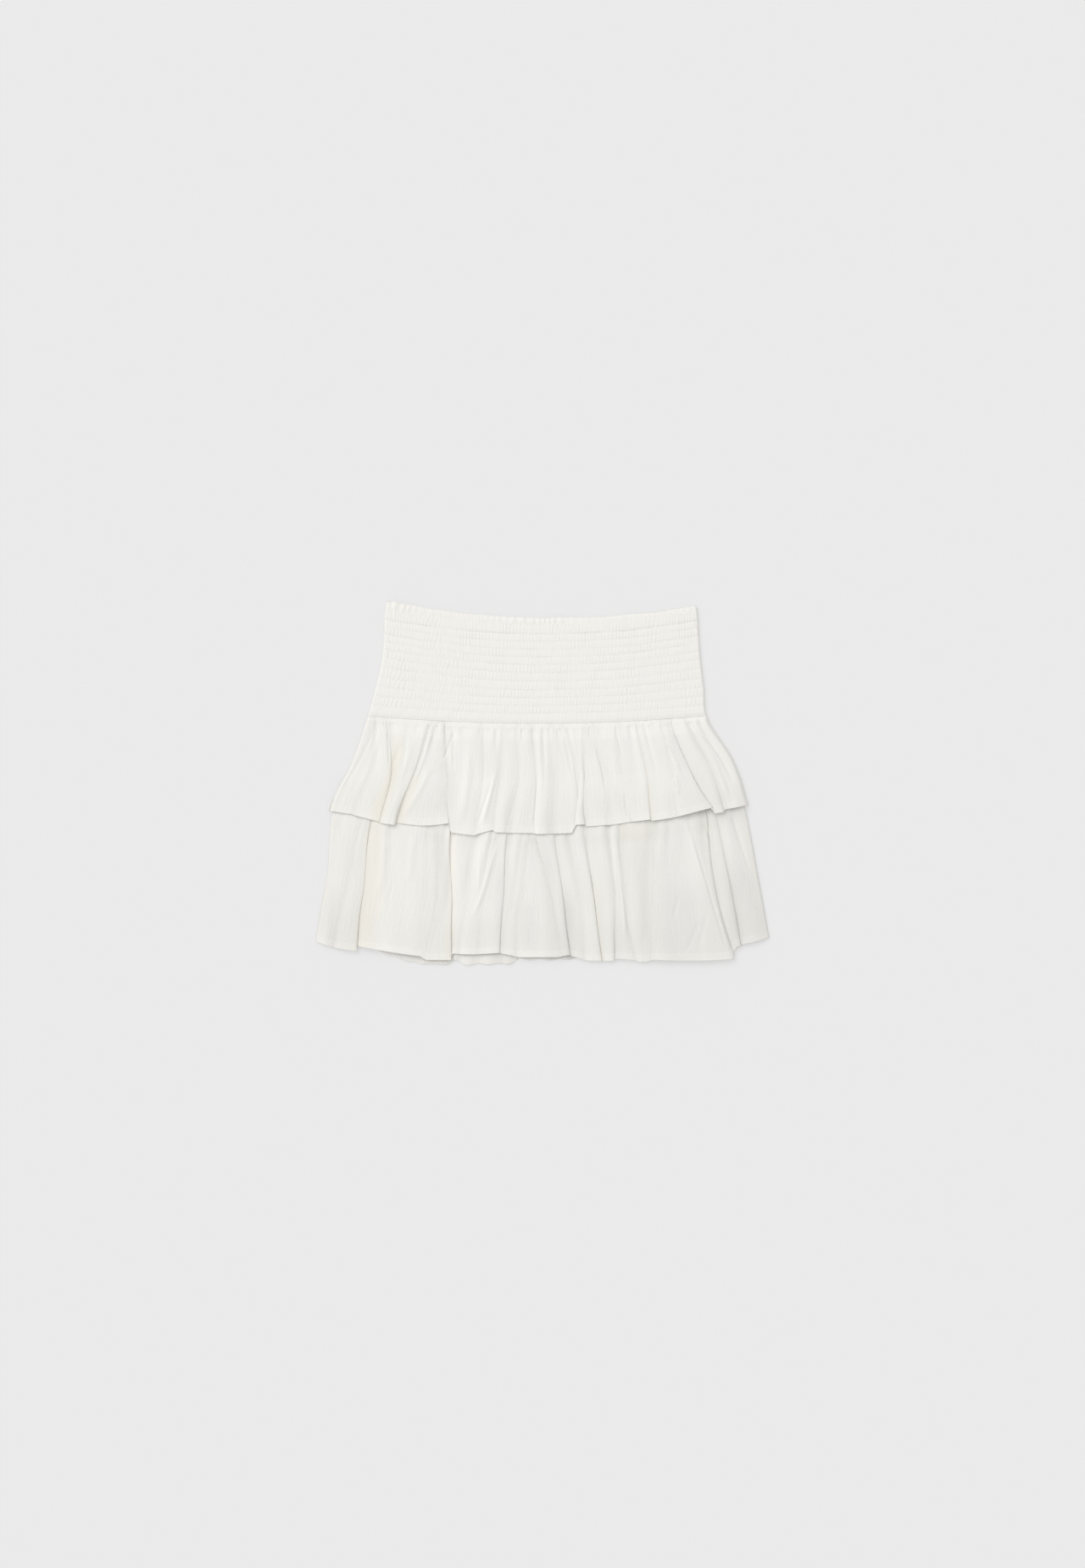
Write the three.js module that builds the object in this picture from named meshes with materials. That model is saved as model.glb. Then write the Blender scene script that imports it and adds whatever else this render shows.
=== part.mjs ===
import * as THREE from "three";

// A ruffle skort laid flat on a surface, front up: a wide smocked waistband with a frilled top edge, an
// upper and a lower gathered ruffle, the plain underskirt that carries the lower one, and the shorts inside.
// Millimetres. +X is to the right seen from above, +Y towards the waist, +Z up from the surface.
// The origin is on the underside, where the garment rests.

// A table with named columns, as one object a row.
const table = (columns, ...rows) =>
  rows.map((row) => Object.fromEntries(row.map((value, i) => [columns[i], value])));

// ---------------------------------------------------------------- sizes
const WALL = 1; // the thin cloth of ruffles, underskirt and shorts
const BAND_WALL = 1.2; // the smocked cloth between its puffs
const BACK_BAND_WALL = 2; // the same cloth lying flat at the back, puffs and all
const GAP = 0.3; // between pieces at a seam
const LIFT = WALL + 0.4; // how far one layer of cloth raises the next
const BAND_HEIGHT = BACK_BAND_WALL + GAP; // of the underside of the waistband's front

const ELASTIC_ROWS = 12; // rows of elastic thread, evenly spaced from the frill to the waist seam
const SMOCKED_COLUMNS = 66; // two to each puff of cloth between the rows
const PUFF = 0.9; // how far the puffs stand out of the smocked cloth
const CASING = 1; // how far the plain casing under the frill stands out
const FRILL_WAVE = 1.5; // how far the waves of the frill stand out
const FRILL_SCALLOP = 0.9; // how far those waves lift its top edge

const GATHER_RISE = 1.2; // height of the small gathers at the top of a ruffle
const GATHER_FADE = 0.45; // share of a section over which they die away
const GATHER_COLUMNS = 2; // columns of points in each gather
const FOLD_COLUMNS = 6; // columns of points in each fold of the lower ruffle's front
const BACK_FOLD_COLUMNS = 3; // and of its back
const EDGE_TURN = 0.12; // of the first and last fold's width, where a ruffle turns down at its side
const HEM_TURN = 0.1; // of a fold's width, where its hem turns into its neighbour's
const BACK_WAVE = 0.4; // height of the back hem's waves, as a share of the front's
const FOLD_GROWTH = 0.65; // how a fold opens down the cloth: 1 is evenly, less is sooner
const CREST_POWER = 0.9; // of a fold's section: 2 is a soft wave, and less a broad crest between creases

// Levels down the garment, as a coordinate that is 0 at the waist seam, 1 at the upper ruffle's hem and 2 at
// the lower ruffle's, and -1 at the frill's gathering line.
const FRILL_TOP = -1.12;
const UNDERSKIRT_TOP = 0.045;
const SHORTS_TOP = 0.17;
const LOWER_TOP = 0.7; // the seam between the underskirt and the lower ruffle
const LOWER_SHOWN = 1.04; // where it comes out from under the upper one
const CROTCH = 1.12;
const SHORTS_HEM = 1.68;
const LEG_PARTING = 9; // half the space between the legs at their hem
const SKIRT_INSET = 0.008; // underskirt and lower ruffle, in from the side edge, as a share of the width
const SHORTS_INSET = 0.08;

// How the layer above comes down past an edge: over what share of the width or of a section.
const SHORTS_SIDE_DRAPE = 0.06;
const SHORTS_HEM_DRAPE = 0.16;
const UPPER_BACK_DRAPE = 0.12;
const PROPPED_DRAPE = 0.03;
// The upper ruffle is held up by the lower one's folds, which start under it.
const PROPPED = [
  { level: 0.5, rise: 0 },
  { level: LOWER_TOP, rise: 1.4 },
  { level: 1, rise: 3 },
];

// The outline, one row a level: where its left and right ends are, how far it sags between them, and the
// power of that sag, which is 2 for a parabola and more where its middle is flat.
const SECTIONS = [
  { level: -1.12, leftX: -165.6, leftY: 194.9, rightX: 162.9, rightY: 189.5, sag: 15.3, power: 2 },
  { level: -1, leftX: -167.4, leftY: 185, rightX: 164.7, rightY: 183.2, sag: 15.3, power: 2 },
  { level: -0.5, leftX: -170.2, leftY: 135.8, rightX: 168.2, rightY: 134, sag: 16.1, power: 2 },
  { level: -0.25, leftX: -176.8, leftY: 104.2, rightX: 171.8, rightY: 103.3, sag: 12.2, power: 2 },
  { level: 0, leftX: -185.6, leftY: 72.5, rightX: 174.8, rightY: 72.5, sag: 8.1, power: 2 },
  { level: 0.5, leftX: -203.5, leftY: 21, rightX: 203.5, rightY: 24, sag: 17.6, power: 2 },
  { level: 1, leftX: -227, leftY: -30.2, rightX: 218.8, rightY: -23.9, sag: 27.4, power: 2 },
  { level: 1.5, leftX: -232.8, leftY: -97, rightX: 232.2, rightY: -93.4, sag: 23.8, power: 2.6 },
  { level: 1.75, leftX: -239.4, leftY: -131, rightX: 238.8, rightY: -128.5, sag: 21.7, power: 3 },
  { level: 2, leftX: -245, leftY: -164.3, rightX: 245, rightY: -162.9, sag: 20, power: 3.5 },
];

// The folds of each ruffle from left to right. A fold runs from its own valley to the next row's: top, middle
// and hem are where that valley runs, as shares of the width. rise is the fold's height at the hem, lean how
// far its crest is pushed right, drop how far its hem hangs below the section's at its left, tilt how much
// further it hangs at its right, and gathers the number of small gathers that it opens from.
const UPPER_FOLDS = table(
  ["top", "middle", "hem", "rise", "lean", "drop", "tilt", "gathers"],
  [0, 0, 0, 2.6, 0, -1.6, -1.8, 1],
  [0.022, 0.05, 0.057, 3.4, 1, -3, 2.2, 1],
  [0.05, 0.111, 0.115, 4.8, 0.5, 0.2, 0, 5],
  [0.189, 0.176, 0.154, 4.6, 1, -3, -6.5, 2],
  [0.228, 0.254, 0.289, 4.2, 0, 0.6, 2.2, 4],
  [0.333, 0.341, 0.351, 3.4, 0, -2.4, -2, 3],
  [0.4, 0.389, 0.393, 3.6, 0, -2.5, 0, 2],
  [0.442, 0.436, 0.424, 3.8, 0, -1.3, 0, 2],
  [0.482, 0.483, 0.49, 3.4, 0, -1.3, 0, 2],
  [0.537, 0.52, 0.528, 3.8, 0, -1.2, 0, 2],
  [0.575, 0.59, 0.584, 3, 0.5, -9.6, 0, 3],
  [0.643, 0.611, 0.612, 3.8, 0, -7, 0, 1],
  [0.664, 0.661, 0.666, 3.4, 0, -6.5, -1, 3],
  [0.744, 0.708, 0.722, 3.8, 1, -7.4, 0, 2],
  [0.789, 0.774, 0.769, 4, 0, -5.4, 0, 3],
  [0.86, 0.836, 0.829, 4.8, 1.5, -5.6, -3, 2],
  [0.906, 0.885, 0.912, 3.4, 1, -0.8, 0, 2],
  [0.949, 0.935, 0.939, 2.8, 0, -2.8, 1.2, 2],
);

// The same for the lower ruffle. backDrop and backTilt are those of the back's hem, which shows in places.
const LOWER_FOLDS = table(
  ["top", "middle", "hem", "rise", "lean", "drop", "tilt", "backDrop", "backTilt", "gathers"],
  [0, 0, 0, 3, 0, 2, 2, -2, 0, 1],
  [0.06, 0.038, 0.04, 4, 2, 4, -0.5, -1, 0, 1],
  [0.087, 0.083, 0.088, 5.4, 0, -4.3, 5.5, -5, 12, 4],
  [0.253, 0.255, 0.237, 4.4, 2, 5, -1, 8.2, 0, 1],
  [0.284, 0.288, 0.295, 3.4, 0, -2.8, 0, 6, 0, 2],
  [0.346, 0.326, 0.316, 3.8, 0, -2.4, 0, 8.4, 0, 2],
  [0.395, 0.366, 0.356, 3.8, 1, -2.6, -1.6, 7.4, 0, 1],
  [0.424, 0.411, 0.408, 4, 0, -3.6, 3, 6.8, 0, 2],
  [0.477, 0.451, 0.442, 4.8, 0, 0.5, 0, 3, 0, 1],
  [0.495, 0.521, 0.53, 4.4, 1.5, 0, -2.2, 2, 0, 1],
  [0.536, 0.553, 0.563, 3.4, 0, -1, 4, 2, 0, 1],
  [0.57, 0.587, 0.593, 3.8, 1, 4.2, 0.8, 2, 0, 2],
  [0.614, 0.625, 0.636, 3.8, 0.5, 5, 0, 2, 0, 2],
  [0.67, 0.67, 0.661, 4.2, 0, 2.8, 2, 2, 0, 1],
  [0.708, 0.701, 0.709, 3.8, 0, 6.8, 0, 2, 0, 3],
  [0.781, 0.751, 0.738, 5.6, 2, 4.3, 6, 5, 0, 4],
  [0.907, 0.905, 0.919, 3.2, 1.5, 1, 0, 2, 0, 1],
  [0.94, 0.939, 0.936, 3.6, 0, 0.3, -1, -2, 0, 2],
);

// Rows of points down each piece, as levels, and columns across the plain ones, as shares of the width.
const SHORTS_ROWS = [SHORTS_TOP, 0.33, 0.5, LOWER_TOP, 1, CROTCH, 1.3, 1.5, SHORTS_HEM];
const UNDERSKIRT_ROWS = [UNDERSKIRT_TOP, 0.11, SHORTS_TOP, 0.33, 0.5, LOWER_TOP];
const UPPER_BACK_ROWS = [0, 0.33, 0.7, 1];
const UPPER_ROWS = [0, UNDERSKIRT_TOP, 0.11, SHORTS_TOP, 0.33, 0.5, 0.6, LOWER_TOP, 0.85, 1];
const LOWER_ROWS = [LOWER_TOP, 0.85, 1, 1.12, 1.3, 1.5, SHORTS_HEM, 1.76, 1.84, 2];
const LOWER_BACK_ROWS = [LOWER_TOP, 1, 1.12, 1.5, 1.84, 1.92, 2];
const BACK_BAND_ROWS = [FRILL_TOP, -1, -0.75, -0.5, -0.25, 0];
const SIDE_COLUMNS = [0, 0.02, 0.04, 0.06, 0.08, 0.14];
const MIDDLE_COLUMNS = 12;
const LEG_COLUMNS = 7;

// ---------------------------------------------------------------- small helpers
const mix = (a, b, t) => a + (b - a) * t;
const clamp = (t) => Math.min(1, Math.max(0, t));
const smooth = (t) => clamp(t) ** 2 * (3 - 2 * clamp(t));
const evenly = (count, from, to) => Array.from({ length: count + 1 }, (_, i) => mix(from, to, i / count));

// A column of the outline's table at any level, on a smooth curve through its rows.
function atLevel(column, level) {
  const last = SECTIONS.length - 1;
  let i = SECTIONS.findIndex((row) => row.level >= level) - 1;
  if (i < 0) i = level <= SECTIONS[0].level ? 0 : last - 1;
  const slope = (j) => {
    const a = SECTIONS[Math.max(0, j - 1)];
    const b = SECTIONS[Math.min(last, j + 1)];
    return (b[column] - a[column]) / (b.level - a.level);
  };
  const [a, b] = [SECTIONS[i], SECTIONS[i + 1]];
  const span = b.level - a.level;
  const t = (level - a.level) / span;
  const s = 1 - t;
  return (
    a[column] * s * s * (1 + 2 * t) +
    b[column] * t * t * (1 + 2 * s) +
    slope(i) * span * t * s * s -
    slope(i + 1) * span * t * t * s
  );
}

// The place in plan of a share of the width, from the left edge, at a level.
function inPlan(across, level) {
  const left = atLevel("leftY", level);
  const right = atLevel("rightY", level);
  const sag = atLevel("sag", level) * (1 - Math.abs(2 * across - 1) ** atLevel("power", level));
  return {
    x: mix(atLevel("leftX", level), atLevel("rightX", level), across),
    y: mix(left, right, across) - sag,
  };
}

// A level moved down by a distance.
function below(level, distance) {
  const step = 0.01;
  return level + (distance * step) / (inPlan(0.5, level).y - inPlan(0.5, level + step).y);
}

// ---------------------------------------------------------------- how the layers lie on each other
// 1 on a layer, falling evenly to 0 past its edges.
const past = (inside, drape) => clamp((inside + drape) / drape);

const onUpperBack = (level) => past(1 - level, UPPER_BACK_DRAPE);
const onSkirt = (across, level) =>
  past(level - UNDERSKIRT_TOP, UNDERSKIRT_TOP) *
  past(0.5 - Math.abs(across - 0.5) - SKIRT_INSET, SKIRT_INSET);
const onShorts = (across, level) =>
  past(level - SHORTS_TOP, SHORTS_TOP - UNDERSKIRT_TOP) *
  past(SHORTS_HEM - level, SHORTS_HEM_DRAPE) *
  past(0.5 - Math.abs(across - 0.5) - SHORTS_INSET, SHORTS_SIDE_DRAPE);

function propped(level) {
  const i = PROPPED.findIndex((row) => row.level >= level);
  if (i === 0) return 0;
  const [a, b] = i < 0 ? PROPPED.slice(-2) : [PROPPED[i - 1], PROPPED[i]];
  return mix(a.rise, b.rise, Math.min(1, (level - a.level) / (b.level - a.level)));
}

// The height of the underside of each layer.
const HEIGHTS = {
  upperBack: () => 0,
  skirtBack: (across, level) => LIFT * onUpperBack(level),
  shortsBack: (across, level) => LIFT * (onUpperBack(level) + 1),
  shortsFront: (across, level) => LIFT * (onUpperBack(level) + 2),
  skirtFront: (across, level) => LIFT * (onUpperBack(level) + 1 + 2 * onShorts(across, level)),
  upperFront: (across, level) =>
    mix(BAND_HEIGHT, LIFT, past(level - UNDERSKIRT_TOP, UNDERSKIRT_TOP)) +
    2 * LIFT * onSkirt(across, level) +
    propped(level) * past(0.5 - Math.abs(across - 0.5) - PROPPED_DRAPE, PROPPED_DRAPE) +
    2 * LIFT * onShorts(across, level),
};

// ---------------------------------------------------------------- folds
// The columns of points of a ruffle: evenly along each fold, and one more where each side edge turns down.
function foldColumns(folds, columnsIn) {
  const end = { top: 1, middle: 1, hem: 1 };
  const last = folds.length - 1;
  return folds.flatMap((fold, i) => {
    const along = evenly(columnsIn(fold), 0, 1);
    if (i < last) along.pop();
    if (i === 0) along.splice(1, 0, EDGE_TURN);
    if (i === last) along.splice(-1, 0, 1 - EDGE_TURN);
    return along.map((share) => ({
      fold,
      next: folds[i + 1] ?? end,
      before: folds[i - 1] ?? fold,
      along: share,
    }));
  });
}

// How far a fold's hem hangs below the section's line. Close to a valley it turns into its neighbour's.
function dropAt({ fold, next, before, along }, { drop, tilt }) {
  const own = fold[drop] + fold[tilt] * along;
  const beforeEnd = fold === before ? own : before[drop] + before[tilt];
  const toBefore = (1 - smooth(along / HEM_TURN)) / 2;
  const toNext = (1 - smooth((1 - along) / HEM_TURN)) / 2;
  return own + (beforeEnd - own) * toBefore + ((next[drop] ?? own) - own) * toNext;
}

// Where a valley lies, as a share of the width, on a curve through its top, middle and hem.
const valleyAt = ({ top, middle, hem }, t) =>
  top * (1 - t) * (1 - 2 * t) + middle * 4 * t * (1 - t) + hem * t * (2 * t - 1);

// A point on the underside of a ruffle.
function rufflePoint(column, level, ruffle) {
  const { fold, next, along } = column;
  const down = (level - ruffle.top) / (ruffle.hem - ruffle.top);
  const shown = clamp((level - ruffle.shownFrom) / (ruffle.hem - ruffle.shownFrom));
  const across = mix(valleyAt(fold, shown), valleyAt(next, shown), along);
  const inset = mix(ruffle.inset, 1 - ruffle.inset, across);
  const plan = inPlan(inset, level);
  const crest = Math.sin(Math.PI * along) ** CREST_POWER;
  const opened = ruffle.opened(level, down);
  const gather = Math.sin(Math.PI * along * fold.gathers) ** 2;
  const gathered = ruffle.gatherRise * (1 - clamp(down / GATHER_FADE));
  return new THREE.Vector3(
    plan.x + fold.lean * crest * opened,
    plan.y - dropAt(column, ruffle.hangs) * down ** 2,
    ruffle.height(inset, level) + fold.rise * crest * opened + gather * gathered,
  );
}

// ---------------------------------------------------------------- walls
// A grid of points is a list of rows down the cloth, each a list of points from left to right.
const grid = (rows, columns, point) => rows.map((row) => columns.map((column, c) => point(column, row, c)));

// The same grid moved out of the cloth's upper face by its thickness. At the seam its edge stays upright.
function movedOut(points, thickness) {
  const lastRow = points.length - 1;
  const lastColumn = points[0].length - 1;
  return points.map((row, r) =>
    row.map((p, c) => {
      const acrossCloth = row[Math.min(lastColumn, c + 1)].clone().sub(row[Math.max(0, c - 1)]);
      const upCloth = points[Math.max(0, r - 1)][c].clone().sub(points[Math.min(lastRow, r + 1)][c]);
      const outwards = acrossCloth.cross(upCloth);
      if (r === 0) outwards.setY(0);
      return p.clone().addScaledVector(outwards.normalize(), thickness);
    }),
  );
}

// A closed solid between an upper and a lower grid, whose edges are joined all round.
function wall(upper, lower) {
  const points = [...upper.flat(), ...lower.flat()];
  const number = (rows, start) => rows.map((row, r) => row.map((_, c) => start + r * row.length + c));
  const top = number(upper, 0);
  const bottom = number(lower, upper.length * upper[0].length);
  const index = [];

  const face = (cells, turned) => {
    for (let r = 1; r < cells.length; r += 1) {
      for (let c = 1; c < cells[r].length; c += 1) {
        const [a, b, d, e] = [cells[r - 1][c - 1], cells[r - 1][c], cells[r][c - 1], cells[r][c]];
        index.push(...(turned ? [a, e, d, a, b, e] : [a, d, e, a, e, b]));
      }
    }
  };
  // How far along an edge each of its points is, as a share of its length in plan.
  const shares = (edge) => {
    const far = [0];
    for (let i = 1; i < edge.length; i += 1) {
      const [a, b] = [points[edge[i - 1]], points[edge[i]]];
      far.push(far[i - 1] + Math.hypot(b.x - a.x, b.y - a.y));
    }
    return far.map((length) => length / far.at(-1));
  };
  // Joins two edges, which may hold different numbers of points, with the cloth on the left of both.
  const rim = (above, under) => {
    const [aboveShares, underShares] = [shares(above), shares(under)];
    let [i, j] = [0, 0];
    while (i < above.length - 1 || j < under.length - 1) {
      const underIsNext = (underShares[j + 1] ?? 2) <= (aboveShares[i + 1] ?? 2);
      if (underIsNext) {
        index.push(above[i], under[j], under[j + 1]);
        j += 1;
      } else {
        index.push(above[i], under[j], above[i + 1]);
        i += 1;
      }
    }
  };
  const leftEdge = (cells) => cells.map((row) => row[0]);
  const rightEdge = (cells) => cells.map((row) => row[row.length - 1]).reverse();
  const lowEdge = (cells) => cells[cells.length - 1];
  const highEdge = (cells) => [...cells[0]].reverse();

  face(top, false);
  face(bottom, true);
  for (const edge of [leftEdge, lowEdge, rightEdge, highEdge]) rim(edge(top), edge(bottom));

  const geometry = new THREE.BufferGeometry();
  geometry.setAttribute("position", new THREE.Float32BufferAttribute(points.flatMap((p) => p.toArray()), 3));
  geometry.setIndex(index);
  geometry.computeVertexNormals();
  return geometry;
}

// ---------------------------------------------------------------- the pieces
// A plain layer: flat cloth that follows what it lies on.
function plainPanel(height, rows, inset, thickness = WALL) {
  const side = SIDE_COLUMNS.map((share) => Math.max(share, inset));
  const middle = evenly(MIDDLE_COLUMNS, SIDE_COLUMNS.at(-1), 1 - SIDE_COLUMNS.at(-1)).slice(1, -1);
  const columns = [...side, ...middle, ...side.map((share) => 1 - share).reverse()];
  const lower = grid(rows, columns, (across, level) => {
    const { x, y } = inPlan(across, level);
    return new THREE.Vector3(x, y, height(across, level));
  });
  const upper = lower.map((row) => row.map((p) => p.clone().setZ(p.z + thickness)));
  return wall(upper, lower);
}

// One leg panel of the shorts, from its side to the middle of the garment and down to its hem.
function legPanel(height, isLeft) {
  const shares = evenly(LEG_COLUMNS, 0, 1);
  const lower = grid(SHORTS_ROWS, isLeft ? shares : [...shares].reverse(), (share, level) => {
    const across = mix(SHORTS_INSET, 0.5, share);
    const { x, y } = inPlan(isLeft ? across : 1 - across, level);
    const parted = share * mix(GAP / 2, LEG_PARTING, clamp((level - CROTCH) / (SHORTS_HEM - CROTCH)));
    return new THREE.Vector3(isLeft ? x - parted : x + parted, y, height(0.5, level));
  });
  const upper = lower.map((row) => row.map((p) => p.clone().setZ(p.z + WALL)));
  return wall(upper, lower);
}

// The smocked band: puffs between rows of elastic, over a plain inside, under a waved frill.
function smockedBand() {
  const columns = evenly(SMOCKED_COLUMNS, 0, 1);
  const frill = [
    { level: FRILL_TOP, relief: FRILL_WAVE, waved: 1, scallop: FRILL_SCALLOP },
    { level: mix(FRILL_TOP, -1, 0.5), relief: FRILL_WAVE, waved: 0.8, scallop: 0 },
  ];
  const rowLevel = (row) => -1 + row / ELASTIC_ROWS;
  const bands = evenly(ELASTIC_ROWS - 1, 0, ELASTIC_ROWS - 1).flatMap((row) => [
    { level: rowLevel(row), relief: 0, waved: 0, scallop: 0 },
    { level: rowLevel(row + 0.5), relief: row === 0 ? CASING : PUFF, waved: row === 0 ? 0 : 0.6, scallop: 0 },
  ]);
  const seam = { level: -(below(0, GAP / 2)), relief: 0, waved: 0, scallop: 0 };
  const upper = grid([...frill, ...bands, seam], columns, (across, row, c) => {
    const crest = c % 2;
    const { x, y } = inPlan(across, row.level);
    const relief = row.relief * (1 - row.waved * (1 - crest));
    return new THREE.Vector3(x, y + row.scallop * crest, BAND_HEIGHT + BAND_WALL + relief);
  });
  const inside = [frill[0], ...BACK_BAND_ROWS.slice(1, -1).map((level) => ({ level, scallop: 0 })), seam];
  const lower = grid(inside, columns, (across, row, c) => {
    const { x, y } = inPlan(across, row.level);
    return new THREE.Vector3(x, y + row.scallop * (c % 2), BAND_HEIGHT);
  });
  return wall(upper, lower);
}

function backBand() {
  const rows = BACK_BAND_ROWS.map((level) => (level === 0 ? -below(0, GAP / 2) : level));
  return plainPanel(() => 0, rows, 0, BACK_BAND_WALL);
}

const fromSeam = (rows) => [below(rows[0], GAP / 2), ...rows.slice(1)];
const toSeam = (rows) => [...rows.slice(0, -1), 2 * rows.at(-1) - below(rows.at(-1), GAP / 2)];

function upperRuffleFront() {
  const ruffle = {
    top: 0,
    shownFrom: 0,
    hem: 1,
    inset: 0,
    hangs: { drop: "drop", tilt: "tilt" },
    gatherRise: GATHER_RISE,
    height: HEIGHTS.upperFront,
    opened: (level, down) => Math.max(0, down) ** FOLD_GROWTH,
  };
  const columns = foldColumns(UPPER_FOLDS, (fold) => Math.max(fold.gathers, 2) * GATHER_COLUMNS);
  const lower = grid(fromSeam(UPPER_ROWS), columns, (column, level) => rufflePoint(column, level, ruffle));
  return wall(movedOut(lower, WALL), lower);
}

function lowerRuffleFront() {
  const ruffle = {
    top: LOWER_TOP,
    shownFrom: LOWER_SHOWN,
    hem: 2,
    inset: SKIRT_INSET,
    hangs: { drop: "drop", tilt: "tilt" },
    gatherRise: GATHER_RISE,
    height: HEIGHTS.skirtFront,
    opened: (level, down) => Math.max(0, down) ** FOLD_GROWTH,
  };
  const columns = foldColumns(LOWER_FOLDS, () => FOLD_COLUMNS);
  const lower = grid(fromSeam(LOWER_ROWS), columns, (column, level) => rufflePoint(column, level, ruffle));
  return wall(movedOut(lower, WALL), lower);
}

// The back ruffle lies flat under the others, and its hem waves in step with the front's.
function lowerRuffleBack() {
  const wavesFrom = LOWER_BACK_ROWS.at(-3);
  const ruffle = {
    top: LOWER_TOP,
    shownFrom: LOWER_SHOWN,
    hem: 2,
    inset: SKIRT_INSET,
    hangs: { drop: "backDrop", tilt: "backTilt" },
    gatherRise: 0,
    height: HEIGHTS.skirtBack,
    opened: (level) => BACK_WAVE * clamp((level - wavesFrom) / (2 - wavesFrom)),
  };
  const columns = foldColumns(LOWER_FOLDS, () => BACK_FOLD_COLUMNS);
  const rows = fromSeam(LOWER_BACK_ROWS);
  const lower = grid(rows, columns, (column, level) => rufflePoint(column, level, ruffle));
  return wall(movedOut(lower, WALL), lower);
}

// ---------------------------------------------------------------- the garment
const cloth = (color) => new THREE.MeshStandardMaterial({ color, roughness: 0.92, metalness: 0 });

function piece(name, geometry, color) {
  const mesh = new THREE.Mesh(geometry, cloth(color));
  mesh.name = name;
  return mesh;
}

const waist = new THREE.Group();
waist.add(
  piece("waistband_back", backBand(), 0xf2f0e6),
  piece("waistband_front", smockedBand(), 0xf2f0e6),
);

const skirt = new THREE.Group();
skirt.add(
  piece("upper_ruffle_back", plainPanel(HEIGHTS.upperBack, fromSeam(UPPER_BACK_ROWS), 0), 0xf1eee3),
  piece("underskirt_back", plainPanel(HEIGHTS.skirtBack, toSeam(UNDERSKIRT_ROWS), SKIRT_INSET), 0xefece1),
  piece("lower_ruffle_back", lowerRuffleBack(), 0xf1eee3),
  piece("underskirt_front", plainPanel(HEIGHTS.skirtFront, toSeam(UNDERSKIRT_ROWS), SKIRT_INSET), 0xefece1),
  piece("lower_ruffle_front", lowerRuffleFront(), 0xf1eee3),
  piece("upper_ruffle_front", upperRuffleFront(), 0xf1eee3),
);

const shorts = new THREE.Group();
for (const [side, isLeft] of [["left", true], ["right", false]]) {
  shorts.add(
    piece(`shorts_back_${side}`, legPanel(HEIGHTS.shortsBack, isLeft), 0xeeebe0),
    piece(`shorts_front_${side}`, legPanel(HEIGHTS.shortsFront, isLeft), 0xeeebe0),
  );
}

const skort = new THREE.Group();
skort.add(waist, skirt, shorts);

// The origin goes under the middle of the outline.
const middle = new THREE.Box3().setFromObject(skort).getCenter(new THREE.Vector3());
skort.position.set(-middle.x, -middle.y, 0);

export default skort;
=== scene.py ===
"""A ruffle skort laid flat: smocked waistband, two gathered ruffles, underskirt and shorts."""

import math
from collections import namedtuple

import bpy
import numpy as np
from bpy.props import FloatProperty, FloatVectorProperty, IntProperty, PointerProperty
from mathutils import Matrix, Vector


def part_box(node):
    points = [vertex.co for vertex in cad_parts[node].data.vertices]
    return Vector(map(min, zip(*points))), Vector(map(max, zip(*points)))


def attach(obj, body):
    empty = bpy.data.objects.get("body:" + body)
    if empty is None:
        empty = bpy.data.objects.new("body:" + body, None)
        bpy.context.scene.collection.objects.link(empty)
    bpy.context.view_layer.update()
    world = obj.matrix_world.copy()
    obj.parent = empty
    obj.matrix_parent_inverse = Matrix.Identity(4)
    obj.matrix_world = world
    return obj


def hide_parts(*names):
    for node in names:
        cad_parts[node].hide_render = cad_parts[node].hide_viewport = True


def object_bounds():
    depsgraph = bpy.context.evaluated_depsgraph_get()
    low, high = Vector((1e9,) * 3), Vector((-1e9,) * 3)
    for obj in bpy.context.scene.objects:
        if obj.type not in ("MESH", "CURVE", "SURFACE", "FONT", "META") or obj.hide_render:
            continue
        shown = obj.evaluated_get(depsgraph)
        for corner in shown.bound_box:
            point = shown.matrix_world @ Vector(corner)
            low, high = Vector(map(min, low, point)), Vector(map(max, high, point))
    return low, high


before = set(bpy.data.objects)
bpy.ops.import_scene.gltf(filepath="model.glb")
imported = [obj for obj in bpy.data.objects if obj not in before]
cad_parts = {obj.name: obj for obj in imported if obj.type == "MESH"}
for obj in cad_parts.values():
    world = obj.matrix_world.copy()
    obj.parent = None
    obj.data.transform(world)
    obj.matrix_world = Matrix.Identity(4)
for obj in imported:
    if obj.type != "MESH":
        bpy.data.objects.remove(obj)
CAD_LOW, CAD_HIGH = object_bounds()

bl_info = {
    "name": "Ruffle skort",
    "version": (1, 0, 0),
    "blender": (4, 5, 0),
    "location": "View3D > Sidebar > Skort",
    "description": "Makes a ruffle skort laid flat, with its floor, lights and camera",
    "category": "Add Mesh",
}

# ------------------------------------------------------------------ the drawing
# Every table is in the drawing's millimetres, seen from above, with the waist up. One drawn millimetre is MM
# metres, from the width of the solids, and the drawing's zero is put where the waistband's solid is.
DRAWN_WIDTH = 482.96
MM = (CAD_HIGH.x - CAD_LOW.x) / DRAWN_WIDTH


def table(row_type, units, *rows):
    """A table with named columns, one row of values a line. A column's unit says how many of it make 1."""
    return tuple(row_type(*(value / unit for value, unit in zip(row, units))) for row in rows)


WALL = 1.0  # the solids' wall of thin cloth
BAND_WALL = 1.2  # and of the smocked front between its puffs
GAP = 0.3  # between pieces at a seam
LIFT = WALL + 0.4  # how far one layer raises the next
BACK_BAND = 2.0  # all the thickness of the back waistband
BAND_HEIGHT = BACK_BAND + GAP

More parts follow.
